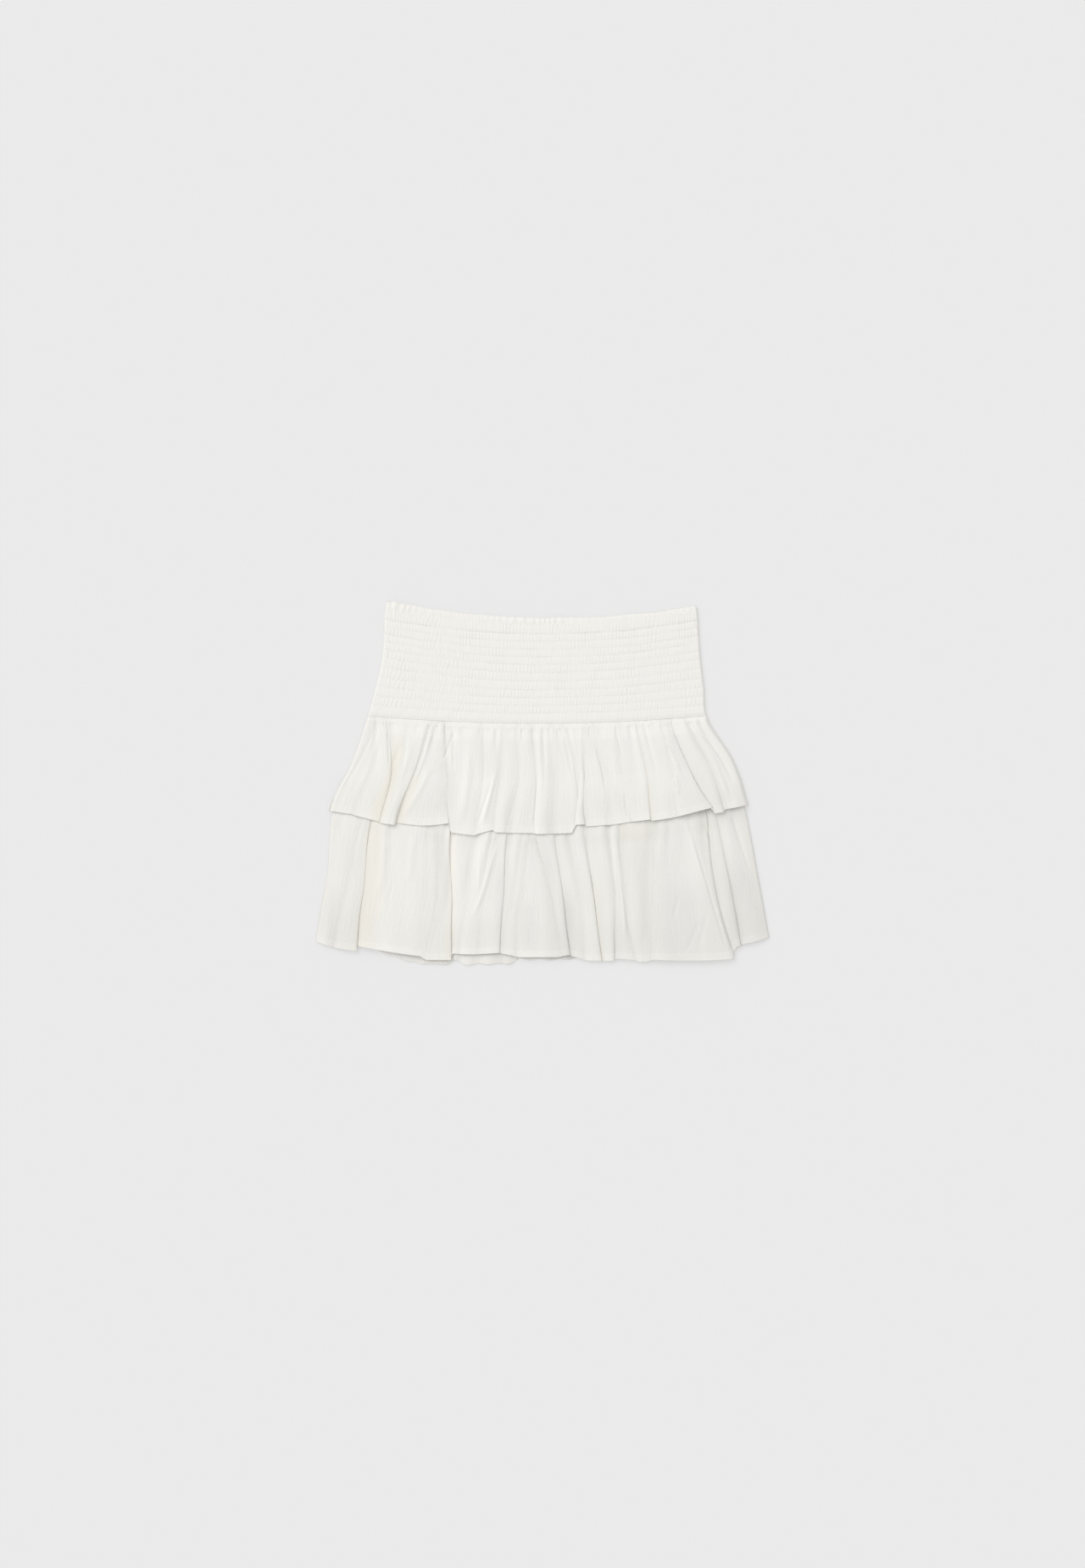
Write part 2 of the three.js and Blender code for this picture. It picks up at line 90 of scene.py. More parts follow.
# Levels down the garment: -1 the frill's gathering line, 0 the waist seam, 1 and 2 the ruffles' hems.
FRILL_TOP = -1.12  # its edge
UNDERSKIRT_TOP = 0.045
SHORTS_TOP = 0.17
LOWER_TOP = 0.7
CROTCH = 1.12
SHORTS_HEM = 1.68
SKIRT_INSET = 0.008  # shares of the width that the underskirt and the lower ruffle stay in from the sides
SHORTS_INSET = 0.08  # and the shorts
LEG_PARTING = 9.0  # half the way between the legs at their hems

# The outline at each level: its left and right ends, how far it sags between them, and the power of the sag.
Section = namedtuple("Section", "level left_x left_y right_x right_y sag power")
SECTION_UNITS = (1,) * 7
SECTIONS = table(
    Section, SECTION_UNITS,
    (-1.12, -165.6, 194.9, 162.9, 189.5, 15.3, 2.0),
    (-1.00, -167.4, 185.0, 164.7, 183.2, 15.3, 2.0),
    (-0.50, -170.2, 135.8, 168.2, 134.0, 16.1, 2.0),
    (-0.25, -176.8, 104.2, 171.8, 103.3, 12.2, 2.0),
    (0.00, -185.6, 72.5, 174.8, 72.5, 8.1, 2.0),
    (0.50, -203.5, 21.0, 203.5, 24.0, 17.6, 2.0),
    (1.00, -227.0, -30.2, 218.8, -23.9, 27.4, 2.0),
    (1.50, -232.8, -97.0, 232.2, -93.4, 23.8, 2.6),
    (1.75, -239.4, -131.0, 238.8, -128.5, 21.7, 3.0),
    (2.00, -245.0, -164.3, 245.0, -162.9, 20.0, 3.5),
)

# The folds from left to right, each from its own valley to the next one's. top, middle and hem say where the
# valley runs, in thousandths of the width, and all else is in tenths: valley is how high it stays at the hem,
# sharp from a soft trough to a crease, and over how far the fold to its left laps over it. rise is the height of
# the fold's crest at the hem, drop how far its hem hangs below the section's line at its left, and tilt how much
# further at its right. slack is how far the valley opens half-way down, settle how far the hem has sunk onto what
# lies under it, back_drop and back_tilt the drop and tilt at the back, and bow how far a hem's middle hangs below
# its ends.
FOLD_COLUMNS = "top middle hem valley sharp over rise drop tilt slack settle back_drop back_tilt bow"
FOLD_UNITS = (1000,) * 3 + (10,) * 11
Fold = namedtuple("Fold", FOLD_COLUMNS, defaults=(0.0, 0.0, 0.0))
UPPER_FOLDS = table(
    Fold, FOLD_UNITS,
    (0, 0, 0, 0, 3, 0, 26, -16, -18, 3, 30),
    (22, 50, 57, 16, 3, 0, 34, -30, 22, 5, 34),
    (52, 107, 122, 6, 8, 15, 48, 2, 0, 0, 13),
    (189, 168, 161, 0, 9, 24, 46, -30, -65, 5, 39, 0, 0, 26),
    (228, 254, 289, 10, 6, 15, 42, 6, 14, 9, 37),
    (333, 341, 351, 22, 3, 0, 34, 6, -60, 3, 35),
    (400, 389, 393, 10, 8, 0, 36, -25, 0, 0, 20),
    (442, 436, 424, 8, 6, 0, 38, -23, 0, 0, 41),
    (482, 483, 490, 22, 4, 0, 34, -13, 0, 5, 22),
    (537, 520, 528, 18, 4, 0, 38, -12, 0, 6, 37),
    (575, 590, 584, 14, 6, 0, 30, -96, 0, 3, 20),
    (643, 611, 612, 4, 9, 20, 38, -70, 0, 5, 41),
    (664, 661, 666, 24, 3, 0, 34, -65, -10, 5, 48),
    (744, 708, 722, 16, 6, 0, 38, -74, 0, 5, 24),
    (789, 774, 769, 4, 9, 20, 40, -54, 0, 3, 15),
    (860, 836, 829, 14, 5, 0, 48, -56, -30, 4, -3),
    (895, 882, 917, 6, 8, 22, 34, -8, 0, 2, -16),
    (932, 937, 943, 4, 9, 20, 28, -28, 12, 3, -2),
)
LOWER_FOLDS = table(
    Fold, FOLD_UNITS,
    (0, 0, 0, 0, 3, 0, 30, 20, 20, 3, 0, -20, 0),
    (72, 49, 40, 8, 9, 0, 40, 40, -5, 3, 0, -10, 0),
    (94, 87, 92, 0, 10, 40, 54, -30, 45, 3, 0, -60, 170),
    (253, 255, 237, 36, 1, 0, 44, 50, -10, 3, 0, 82, 0),
    (288, 290, 300, 0, 10, 40, 34, -28, 0, 3, 0, 60, 0),
    (346, 326, 316, 12, 9, 0, 38, -24, 0, 3, 0, 84, 0),
    (395, 366, 356, 24, 2, 0, 38, -26, -16, 3, 0, 74, 0),
    (424, 411, 408, 4, 10, 20, 40, -36, 30, 3, 0, 68, 0),
    (477, 451, 442, 18, 6, 0, 48, 5, 0, 3, 0, 30, 0),
    (495, 523, 538, 36, 4, 0, 44, 0, -22, 3, 0, 24, 0),
    (540, 549, 562, 2, 10, 30, 34, -10, 40, 3, 0, 24, 0),
    (570, 587, 593, 14, 8, 0, 38, 42, 8, 3, 0, 20, 0),
    (617, 621, 633, 2, 10, 25, 38, 50, 0, 3, 0, 20, 0),
    (670, 670, 661, 4, 9, 15, 42, 28, 20, 3, 0, 20, 0),
    (697, 690, 707, 16, 7, 0, 38, 68, 0, 3, 0, 20, 0),
    (781, 751, 738, 20, 4, 0, 56, 50, 86, 3, 0, 50, 0),
    (908, 903, 924, 2, 10, 22, 42, 10, 0, 3, 0, 20, 0),
    (931, 937, 939, 2, 9, 30, 44, 3, -10, 0, 0, -20, 0),
)
FOLD_END = Fold(1.0, 1.0, 1.0, 0.0, 0.3, 0.0, 0.0, 0.0, 0.0, 0.3, 0.0)

# Small creases and ridges on the folds: from and to are places in thousandths of the width and hundredths of a
# level, width is in millimetres across, and height, in thousandths, is above the cloth, or below it for a crease.
Crease = namedtuple("Crease", "from_share from_level to_share to_level width height")
CREASE_UNITS = (1000, 100, 1000, 100, 1, 1000)
UPPER_CREASES = table(
    Crease, CREASE_UNITS,
    (30, 10, 8, 78, 3, -600),
    (48, 8, 50, 80, 5, 700),
    (66, 10, 97, 47, 2.2, -1000),
    (115, 20, 104, 48, 2.2, -800),
    (150, 10, 135, 60, 4, 800),
    (197, 4, 172, 62, 3, 900),
    (205, 40, 180, 95, 6, 900),
    (262, 5, 234, 38, 2.2, -1000),
    (256, 6, 266, 48, 2, -900),
    (300, 20, 312, 95, 7, 1200),
    (376, 42, 364, 97, 2.8, 1100),
    (368, 50, 352, 95, 2.2, -800),
    (484, 38, 490, 102, 1.5, -900),
    (575, 5, 577, 52, 2.4, -800),
    (583, 34, 597, 80, 1.8, -800),
    (657, 18, 659, 66, 2, -1100),
    (708, 70, 714, 99, 1.8, -900),
    (729, 4, 717, 36, 2.2, -800),
    (839, 56, 839, 80, 5, 1200),
    (852, 10, 852, 60, 4.5, 800),
    (945, 2, 972, 36, 2.2, -800),
    (962, 12, 980, 78, 2.4, -900),
    (950, 30, 958, 90, 3, 800),
)
LOWER_CREASES = table(
    Crease, CREASE_UNITS,
    (140, 110, 128, 160, 6, 800),
    (207, 102, 195, 145, 6, 900),
    (160, 142, 150, 162, 2, -500),
    (406, 104, 342, 172, 4, 1300),
    (365, 106, 352, 150, 3, 700),
    (686, 105, 684, 190, 3.5, 1200),
    (727, 115, 722, 150, 2.2, -500),
    (848, 100, 880, 155, 4, 800),
    (859, 108, 903, 200, 2, -1000),
    (890, 102, 906, 130, 2.2, -800),
    (956, 100, 976, 150, 2.4, -1000),
    (812, 152, 792, 170, 3, -500),
    (852, 172, 808, 196, 3.5, -600),
    (872, 166, 842, 190, 4, -500),
)

# Painted light and shade: where the cloth is painted lighter or darker, as light through the layers under it makes
# it look: height is the change of tone.
UPPER_SHADES = table(
    Crease, CREASE_UNITS,
    (20, 0, 30, 120, 22, -25),
    (125, 35, 135, 125, 18, -22),
    (150, 25, 163, 120, 11, -22),
    (205, 25, 215, 115, 10, -10),
    (235, 35, 255, 95, 20, -30),
    (262, 70, 262, 140, 9, 12),
    (295, 30, 305, 120, 18, 14),
    (302, 10, 322, 120, 8, 18),
    (345, 30, 370, 145, 16, 58),
    (395, 20, 405, 120, 9, 10),
    (490, 20, 498, 135, 9, 40),
    (525, 15, 535, 130, 9, -45),
    (572, 20, 578, 140, 8, 36),
    (613, 20, 616, 120, 8, -12),
    (656, 50, 660, 135, 9, 22),
    (700, 40, 697, 135, 11, 28),
    (775, 50, 778, 135, 9, -22),
    (865, -10, 820, 80, 9, 22),
    (852, 40, 860, 135, 12, -30),
    (905, 0, 925, 120, 45, -30),
    (895, 40, 910, 125, 24, -32),
)
LOWER_SHADES = table(
    Crease, CREASE_UNITS,
    (45, 80, 45, 230, 30, -38),
    (20, 150, 50, 230, 26, -30),
    (88, 90, 92, 260, 28, -32),
    (76, 140, 88, 260, 28, -20),
    (182, 85, 187, 240, 14, -19),
    (266, 90, 280, 230, 15, -30),
    (298, 75, 310, 200, 12, 42),
    (338, 65, 332, 135, 9, 22),
    (366, 85, 364, 180, 12, 36),
    (404, 115, 410, 255, 10, -50),
    (425, 120, 420, 220, 9, -22),
    (470, 150, 470, 200, 14, -45),
    (519, 85, 518, 230, 9, -32),
    (554, 135, 566, 270, 12, -125),
    (630, 135, 632, 250, 9, -30),
    (675, 70, 670, 150, 9, 24),
    (668, 150, 667, 260, 10, -50),
    (731, 90, 725, 200, 10, -40),
    (784, 110, 784, 250, 14, -22),
    (816, 135, 815, 240, 50, -45),
    (842, 80, 846, 140, 10, 18),
    (860, 80, 850, 250, 9, 20),
    (898, 90, 898, 175, 10, -30),
    (938, 60, 934, 140, 10, 40),
    (930, 135, 926, 260, 11, -60),
    (955, 130, 960, 235, 26, -58),
)

# Where it looks warmer, as light comes through several layers: height is 1000 for the warmest.
UPPER_WARMTH = table(
    Crease, CREASE_UNITS,
    (108, 5, 113, 120, 13, 750),
    (172, 40, 166, 135, 13, 600),
    (772, 30, 770, 130, 8, 300),
)
LOWER_WARMTH = table(
    Crease, CREASE_UNITS,
    (116, 70, 106, 250, 22, 600),
    (292, 70, 298, 250, 13, 450),
    (730, 92, 730, 113, 34, 400),
    (895, 85, 895, 116, 16, 250),
    (622, 120, 630, 240, 9, 300),
)

# The height that the lower ruffle's folds prop the upper one to, at each level, clear of the garment's sides.
PROP_LEVELS = (0.5, LOWER_TOP, 1.0)
PROP_RISES = (0.0, 1.4, 3.0)
PROP_INSET = 0.03

BACK_DRAPE = 0.12  # levels over which the layers above come down past the upper back ruffle
SHORTS_DRAPE = 0.30  # and past the shorts' hem
SHORTS_SIDE_DRAPE = 0.06  # and past the shorts' sides, as a share of the width

FOLD_GROWTH = 0.65  # how a fold opens down the cloth: 1 is evenly, less is sooner
SOFT_REACH = 11.0  # how far from a soft valley its fold's side rises
SHARP_REACH = 4.0  # and from a crease
LAPPED_REACH = 6.5  # at the right of a valley that the fold to its left laps over
LAPPING_REACH = 2.0  # and at its left, under the edge of that fold
LAP_REACH = 3.5  # how far from a valley the lapping cloth is pushed most
PULL_REACH = 9.0  # how far from a valley it is pulled after it
LEAN = 0.3  # how much lower a fold lies at its right than at its left
SETTLE_TURN = 5.0  # how far from a valley a fold's settling changes into the next one's
RUFFLE_ROLL = 1.6  # how far from its sides a ruffle starts to turn over
RUFFLE_EDGE = 1.0  # how high its sides lie
GATHER_STRIP = 0.025  # share of a ruffle, below its seam, that is still smooth
SEAM_WIDTH = 1.4  # how far from the waist seam the cloth starts to turn in
SEAM_TUCK = 1.5  # how far the ruffle's upper edge goes in under the band
TUCKED_DIP = 1.6  # how much deeper it goes there than at the seam
REST = 0.2  # how far the upper ruffle's hem stays clear of the lower ruffle
HEM_STEP = 0.7  # over which the cloth gets thicker at the upper edge of a turned hem
HEM_SEWN = 0.9  # from that edge to the hem's stitches
STITCH_PROUD = 0.05  # how far the stitches of a hem lie out of its cloth

# Depth of each band of smocking from the frill down, from one row of elastic to the next.
BAND_DEPTHS = (13.0, 10.2, 10.4, 10.0, 10.0, 10.2, 10.8, 10.4, 9.5, 9.8, 9.4, 12.3)
BAND_DEPTH = sum(BAND_DEPTHS)
BAND_WIDTH = 330  # the waistband's width for its waves and wrinkles
# Painted shade: the band is painted darker on its right side.
BAND_TONE = (0.992, 0.980)  # of its left half, and of its right side
CASING_ROW = 1  # the row of elastic that shows most
CASING_DEPTH = 1.1  # how deep that row is, as a share of the puffs' height
ROW_DEPTH = 0.52  # and the others
ROW_WIDTH = 0.7  # half the width of the groove over a row of elastic
ROW_DIP = 2.2  # and how far from it the puffs start to come down
ROW_STEPS = np.array([0.0, 0.08, 0.2, 0.45, 0.72, 0.9])  # where the points lie from one row to the next
ROW_PROUD = 0.08  # how far the stitches of a row lie out of the cloth
SEAM_LEVELS = -np.array([0.034, 0.027, 0.02, 0.014, 0.009, 0.005, 0.001])
SEAM_TURN = 0.035  # levels over which the band comes down to the waist seam
SEAM_FALL = 0.95  # and how far
EDGE_ROLL = 2.2  # how far from its sides the waistband starts to turn over
EDGE_HEIGHT = 1.5  # how high the front's sides lie

FRILL_LEVELS = np.linspace(FRILL_TOP, -1, 14, endpoint=False)
FRILL_PITCH = 7.5  # from one wave of the frill to the next
FRILL_FALL = 1.6  # how far the frill's edge leans down
LOOP_PLACES = ((0, 20, 1.0), (172, 22, 0.5))  # where its loops stand out: the middle, the reach and how much

WARM_TINT = (1.0, 0.968, 0.905)  # what the light through the layers does to the cloth's colour
SLUB_TONES = (0.984, 1.012)  # how dark and how light the slubs of the cloth are

FLOOR_SIZE = 9  # metres
FLOOR_GLOW = 0.415  # light that comes up through the floor, as on a light table
KEY_ENERGY = 1.18
KEY_ANGLE = 50  # degrees across, for soft shadows
KEY_DIRECTION = (0.58, -0.46, -0.87)
STUDIO_LIGHT = 0.74
LENS = 85
SENSOR = 36
LONG_SIDE = 1664.1  # drawn millimetres that the view's long side spans
VIEW_HEIGHT = 8  # the height over the floor where it does, about the middle of the garment's folds

# What each piece is cut from: its slot, its whole cut in metres with its turnings, the flat size of what shows,
# how it is held, and what it rests on.
Cut = namedtuple("Cut", "slot whole flat held rests_on")
CUTS = {
    "waistband_front": Cut("smocked_cloth", (0.52, 0.15), (0.43, 0.125), "gathered", ["waistband_back"]),
    "waistband_back": Cut("smocked_cloth", (0.52, 0.15), (0.43, 0.125), "gathered", []),
    "upper_ruffle_front": Cut("ruffle_cloth", (0.62, 0.13), (0.55, 0.12), "gathered", ["lower_ruffle_front"]),
    "upper_ruffle_back": Cut("ruffle_cloth", (0.62, 0.13), (0.52, 0.12), "gathered", []),
    "lower_ruffle_front": Cut(
        "ruffle_cloth", (0.70, 0.19), (0.62, 0.18), "gathered",
        ["lower_ruffle_back", "shorts_front_left", "shorts_front_right"],
    ),
    "lower_ruffle_back": Cut("ruffle_cloth", (0.70, 0.19), (0.58, 0.18), "gathered", ["upper_ruffle_back"]),
    "underskirt_front": Cut(
        "underskirt_cloth", (0.42, 0.08), (0.40, 0.08), "laid", ["shorts_front_left", "shorts_front_right"]
    ),
    "underskirt_back": Cut("underskirt_cloth", (0.42, 0.08), (0.40, 0.08), "laid", ["upper_ruffle_back"]),
}
for hand in ("left", "right"):
    for half, below in (("front", ["shorts_back_" + hand]), ("back", ["underskirt_back", "lower_ruffle_back"])):
        CUTS[f"shorts_{half}_{hand}"] = Cut("shorts_cloth", (0.21, 0.20), (0.205, 0.195), "laid", below)


# ------------------------------------------------------------------ sizes and colours a user may change
class SkortSizes(bpy.types.PropertyGroup):
    cloth: FloatProperty(name="Cloth", description="Thickness of the gauze", default=0.00045, unit="LENGTH")
    hem_depth: FloatProperty(
        name="Hem depth", description="Depth of the turned hem of a ruffle", default=0.0065, unit="LENGTH"
    )
    gather_height: FloatProperty(
        name="Gather height", description="Height of the small gathers at a seam", default=0.0013, unit="LENGTH"
    )
    puff_height: FloatProperty(
        name="Puff height", description="Height of the smocking's puffs", default=0.0010, unit="LENGTH"
    )
    puffs: IntProperty(name="Puffs", description="Puffs across the front waistband", default=92)
    stitch: FloatProperty(name="Stitch", description="Length of one stitch", default=0.0022, unit="LENGTH")
    stitch_pitch: FloatProperty(
        name="Stitch pitch", description="From one stitch to the next", default=0.0032, unit="LENGTH"
    )
    thread: FloatProperty(name="Thread", description="Thickness of the thread", default=0.0003, unit="LENGTH")


class SkortColours(bpy.types.PropertyGroup):
    gauze: FloatVectorProperty(
        name="Gauze", description="The crinkled gauze", default=(0.868, 0.858, 0.820), subtype="COLOR"
    )
    # Painted shade: the colour that the gauze is painted deep in its folds and in the smocking's grooves.
    fold: FloatVectorProperty(
        name="In the folds", description="The gauze deep in a fold", default=(0.812, 0.796, 0.749), subtype="COLOR"
    )
    lining: FloatVectorProperty(
        name="Lining", description="The plain cotton of the underskirt and shorts", default=(0.84, 0.825, 0.77),
        subtype="COLOR",
    )
    thread: FloatVectorProperty(
        name="Thread", description="The sewing thread", default=(0.88, 0.87, 0.83), subtype="COLOR"
    )
    floor: FloatVectorProperty(name="Floor", description="The floor", default=(0.4, 0.4, 0.4), subtype="COLOR")


def drawn(size):
    """One of the sizes above, in the drawing's millimetres."""
    return getattr(bpy.context.scene.skort_sizes, size) / MM


# ------------------------------------------------------------------ shapes in the drawing
def smooth(t):
    t = np.clip(t, 0, 1)
    return t * t * (3 - 2 * t)


def mix(a, b, t):
    return a + (b - a) * t


def at_level(column, level):
    """A column of the outline's table at any level, on a smooth curve through its rows."""
    levels = np.array([s.level for s in SECTIONS])
    values = np.array([getattr(s, column) for s in SECTIONS])
    last = len(levels) - 1
    before, after = np.maximum(np.arange(last + 1) - 1, 0), np.minimum(np.arange(last + 1) + 1, last)
    slopes = (values[after] - values[before]) / (levels[after] - levels[before])
    i = np.clip(np.searchsorted(levels, level, side="left") - 1, 0, last - 1)
    span = levels[i + 1] - levels[i]
    t = (level - levels[i]) / span
    s = 1 - t
    ends = values[i] * s * s * (1 + 2 * t) + values[i + 1] * t * t * (1 + 2 * s)
    return ends + slopes[i] * span * t * s * s - slopes[i + 1] * span * t * t * s


def in_plan(across, level):
    """The place of a share of the width, from the left edge, at a level."""
    sag = at_level("sag", level) * (1 - np.abs(2 * across - 1) ** at_level("power", level))
    x = mix(at_level("left_x", level), at_level("right_x", level), across)
    y = mix(at_level("left_y", level), at_level("right_y", level), across) - sag
    return x, y


def past(inside, drape):
    """1 on a layer, falling softly to 0 past its edge."""
    return smooth((inside + drape) / drape)


def from_side(across):
    return 0.5 - np.abs(across - 0.5)


def on_upper_back(level):
    return past(1 - level, BACK_DRAPE)


def on_skirt(across, level):
    return past(level - UNDERSKIRT_TOP, UNDERSKIRT_TOP) * past(from_side(across) - SKIRT_INSET, SKIRT_INSET)


def on_shorts(across, level):
    top = past(level - SHORTS_TOP, SHORTS_TOP - UNDERSKIRT_TOP)
    return top * past(SHORTS_HEM - level, SHORTS_DRAPE) * past(from_side(across) - SHORTS_INSET, SHORTS_SIDE_DRAPE)


def skirt_front_height(across, level):
    return LIFT * (on_upper_back(level) + 1 + 2 * on_shorts(across, level))


def upper_front_height(across, level):
    seam = mix(BAND_HEIGHT, LIFT, past(level - UNDERSKIRT_TOP, UNDERSKIRT_TOP))
    prop = np.interp(level, PROP_LEVELS, PROP_RISES) * past(from_side(across) - PROP_INSET, PROP_INSET)
    return seam + LIFT * (2 * on_skirt(across, level) + 2 * on_shorts(across, level)) + prop


def ripple(x, y, seed, size):
    """Smooth uneven waves about zero, from a few crossing sines."""
    rng = np.random.default_rng(seed)
    total = 0
    for _ in range(6):
        turn = rng.uniform(0, math.pi)
        wave = 2 * math.pi / (size * rng.uniform(0.7, 1.6))
        total = total + np.sin(wave * (x * math.cos(turn) + y * math.sin(turn)) + rng.uniform(0, 2 * math.pi))
    return total / 3


def gather_lines(across, down, count, reach, seed):
    """Creases that run down from a seam, each of its own length, width and slant: 0 beside them, -1 in them."""
    rng = np.random.default_rng(seed)
    height = np.zeros(np.broadcast(across, down).shape)
    for k in range(count):
        centre = (k + 0.5 + rng.uniform(-0.45, 0.45)) / count
        width = rng.uniform(0.16, 0.42) / count
        length = reach * rng.uniform(0.25, 1) ** 2 * 1.6
        start = GATHER_STRIP * rng.uniform(0.5, 2.2)
        deep = rng.uniform(0.3, 1.0)
        slant = rng.uniform(-0.02, 0.02)
        bend = rng.uniform(-0.03, 0.03)
        away = (across - centre - slant * down - bend * down**2) / (width * (1 + 1.5 * np.maximum(down, 0)))
        crease = np.exp(-(away**2)) - 0.45 * np.exp(-((away + 2.0) ** 2) / 2)
        height -= deep * crease * smooth((down - start) / GATHER_STRIP) * np.clip(1 - down / length, 0, 1) ** 0.8
    return height


def small_gathers(across, down, count, reach, seed):
    """The gathers under a seam: some long creases, and between them many fine short ones."""
    long_ones = gather_lines(across, down, count // 2, reach * 1.5, seed)
    return 1.3 * long_ones + 0.65 * gather_lines(across, down, count * 2, reach * 0.35, seed + 100)


def side_roll(x, reach):
    """How a grid turns over at its sides: 0 there, and 1 from reach inwards, on a quarter of a circle."""
    edge = np.minimum(x - x[:, :1], x[:, -1:] - x)
    return np.sqrt(np.clip(1 - (1 - np.clip(edge / reach, 0, 1)) ** 2, 0, 1))


# ------------------------------------------------------------------ meshes from grids of points
def grid_of(x, y, z):
    return np.stack(np.broadcast_arrays(x, y, z), axis=2)


def placed(points):
    """Points of the drawing, put where the solids are, in metres."""
    low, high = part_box("waistband_front")
    seam = next(section for section in SECTIONS if section.level == 0)
    out = points * MM
    out[..., 0] += (low[0] + high[0]) / 2 - (seam.left_x + seam.right_x) / 2 * MM
    out[..., 1] += CAD_HIGH.y - SECTIONS[0].left_y * MM
    return out


def grid_normals(points, up=True):
    normal = np.cross(np.gradient(points, axis=0), np.gradient(points, axis=1))
    normal /= np.maximum(np.linalg.norm(normal, axis=2, keepdims=True), 1e-9)
    return normal if up else -normal


def shell(name, outer, thickness, cut, depth=1.0, tone=1.0, warmth=0.0, up=True):
    """A closed sheet of cloth: outer is a grid of points of its outer face, rows down the cloth and points from
    left to right, in the drawing. thickness is in millimetres, one number or one a point. cut is the size of the
    flat cloth in metres, for its UV map. depth is 0 deep in a fold and 1 on its crest, and sets how much painted
    fold shade the cloth takes, tone is painted light and shade that lightens or darkens the cloth, and warmth is 1
    where the light through the layers makes it look warmest. up is False for a face that is seen from below."""
    rows, columns = outer.shape[:2]
    size = rows * columns
    inner = outer - grid_normals(outer, up) * np.broadcast_to(thickness, (rows, columns))[..., None]
    points = placed(np.concatenate([outer.reshape(-1, 3), inner.reshape(-1, 3)]))
    number = np.arange(size).reshape(rows, columns)

    def cells(n, turned):
        a, b, c, d = n[:-1, :-1], n[1:, :-1], n[1:, 1:], n[:-1, 1:]
        return np.stack([part.ravel() for part in ((a, d, c, b) if turned else (a, b, c, d))], axis=1)

    edge = np.concatenate([number[0, :], number[1:, -1], number[-1, -2::-1], number[-2:0:-1, 0]])
    after = np.roll(edge, -1)
    rim = np.stack([edge, after, after + size, edge + size], axis=1)
    faces = np.concatenate([cells(number, False), cells(number + size, True), rim])
    if not up:
        faces = faces[:, ::-1]

    mesh = bpy.data.meshes.new(name)
    mesh.vertices.add(len(points))
    mesh.vertices.foreach_set("co", points.astype(np.float32).ravel())
    mesh.loops.add(faces.size)
    mesh.loops.foreach_set("vertex_index", faces.astype(np.int32).ravel())
    mesh.polygons.add(len(faces))
    mesh.polygons.foreach_set("loop_start", np.arange(0, faces.size, 4, dtype=np.int32))
    mesh.polygons.foreach_set("use_smooth", np.ones(len(faces), dtype=bool))
    mesh.update(calc_edges=True)

    u, v = np.meshgrid(np.linspace(0, cut[0], columns), np.linspace(0, -cut[1], rows))
    uv = np.tile(np.stack([u.ravel(), v.ravel()], axis=1), (2, 1))
    mesh.uv_layers.new(name="Cloth").data.foreach_set("uv", uv[faces.ravel()].astype(np.float32).ravel())
    looks = {"fold_depth": np.clip(depth, 0, 1), "tone": tone, "warmth": np.clip(warmth, 0, 1)}
    for label, values in looks.items():
        values = np.tile(np.broadcast_to(values, (rows, columns)).ravel(), 2)
        mesh.attributes.new(label, "FLOAT", "POINT").data.foreach_set("value", values.astype(np.float32))
    mesh.validate()

    made = bpy.data.objects.new(name, mesh)
    bpy.context.scene.collection.objects.link(made)
    return made


def piece(node, outer, thickness, lines=(), **looks):
    """A finished piece of cloth, with stitches along its lines, in the place of the solid of its node. What is
    gathered is gauze, and what lies plain is cotton."""
    cut = CUTS[node]
    made = shell(node + "_cloth", outer, thickness, cut.whole, **looks)
    stitches = [sew(node + "_stitches", lines)] if lines else []
    made.data.materials.append(cotton() if cut.held == "laid" else gauze())
    for each in (made, *stitches):
        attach(each, "root")
    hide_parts(node)


# ------------------------------------------------------------------ materials
MIX_FACTOR, MIX_A, MIX_B, MIX_RESULT = 0, 6, 7, 2  # the colour sockets of a Mix node


def feed(tree, node, values):
    """Gives a node's inputs other nodes' outputs, or constants."""
    for name, value in values.items():
        if isinstance(value, bpy.types.NodeSocket):
            tree.links.new(value, node.inputs[name])
        else:
            node.inputs[name].default_value = value


def wire(tree, kind, values=(), out=0, **settings):
    """The output of a new node, fed with values, after its own settings."""
    node = tree.nodes.new(kind)
    for name, value in settings.items():
        setattr(node, name, value)
    feed(tree, node, dict(values))
    return node.outputs[out] if node.outputs else None


def new_material(name):
    """A material with its node tree and its shader, or with no tree where it was made before."""
    old = bpy.data.materials.get(name)
    if old:
        return old, None, None
    material = bpy.data.materials.new(name)
    material.use_nodes = True
    tree = material.node_tree
    return material, tree, tree.nodes["Principled BSDF"]


def noise(tree, vector, detail, stretch):
    mapped = wire(tree, "ShaderNodeMapping", {"Vector": vector, "Scale": stretch})
    return wire(tree, "ShaderNodeTexNoise", {"Vector": mapped, "Scale": 1, "Detail": detail}, "Fac")


def blend_colours(tree, factor, a, b, mode="MIX"):
    a, b = [c if isinstance(c, bpy.types.NodeSocket) else (*c, 1) for c in (a, b)]
    values = {MIX_FACTOR: factor, MIX_A: a, MIX_B: b}
    return wire(tree, "ShaderNodeMix", values, MIX_RESULT, data_type="RGBA", blend_type=mode)


def bump(tree, height, distance, strength, **more):
    return wire(tree, "ShaderNodeBump", {"Height": height, "Distance": distance, "Strength": strength, **more})


def speckled(tree, grain, colour, dark, light):
    """A colour that goes from a darker to a lighter one with the grain."""
    return blend_colours(tree, grain, [c * dark for c in colour], [min(1, c * light) for c in colour])


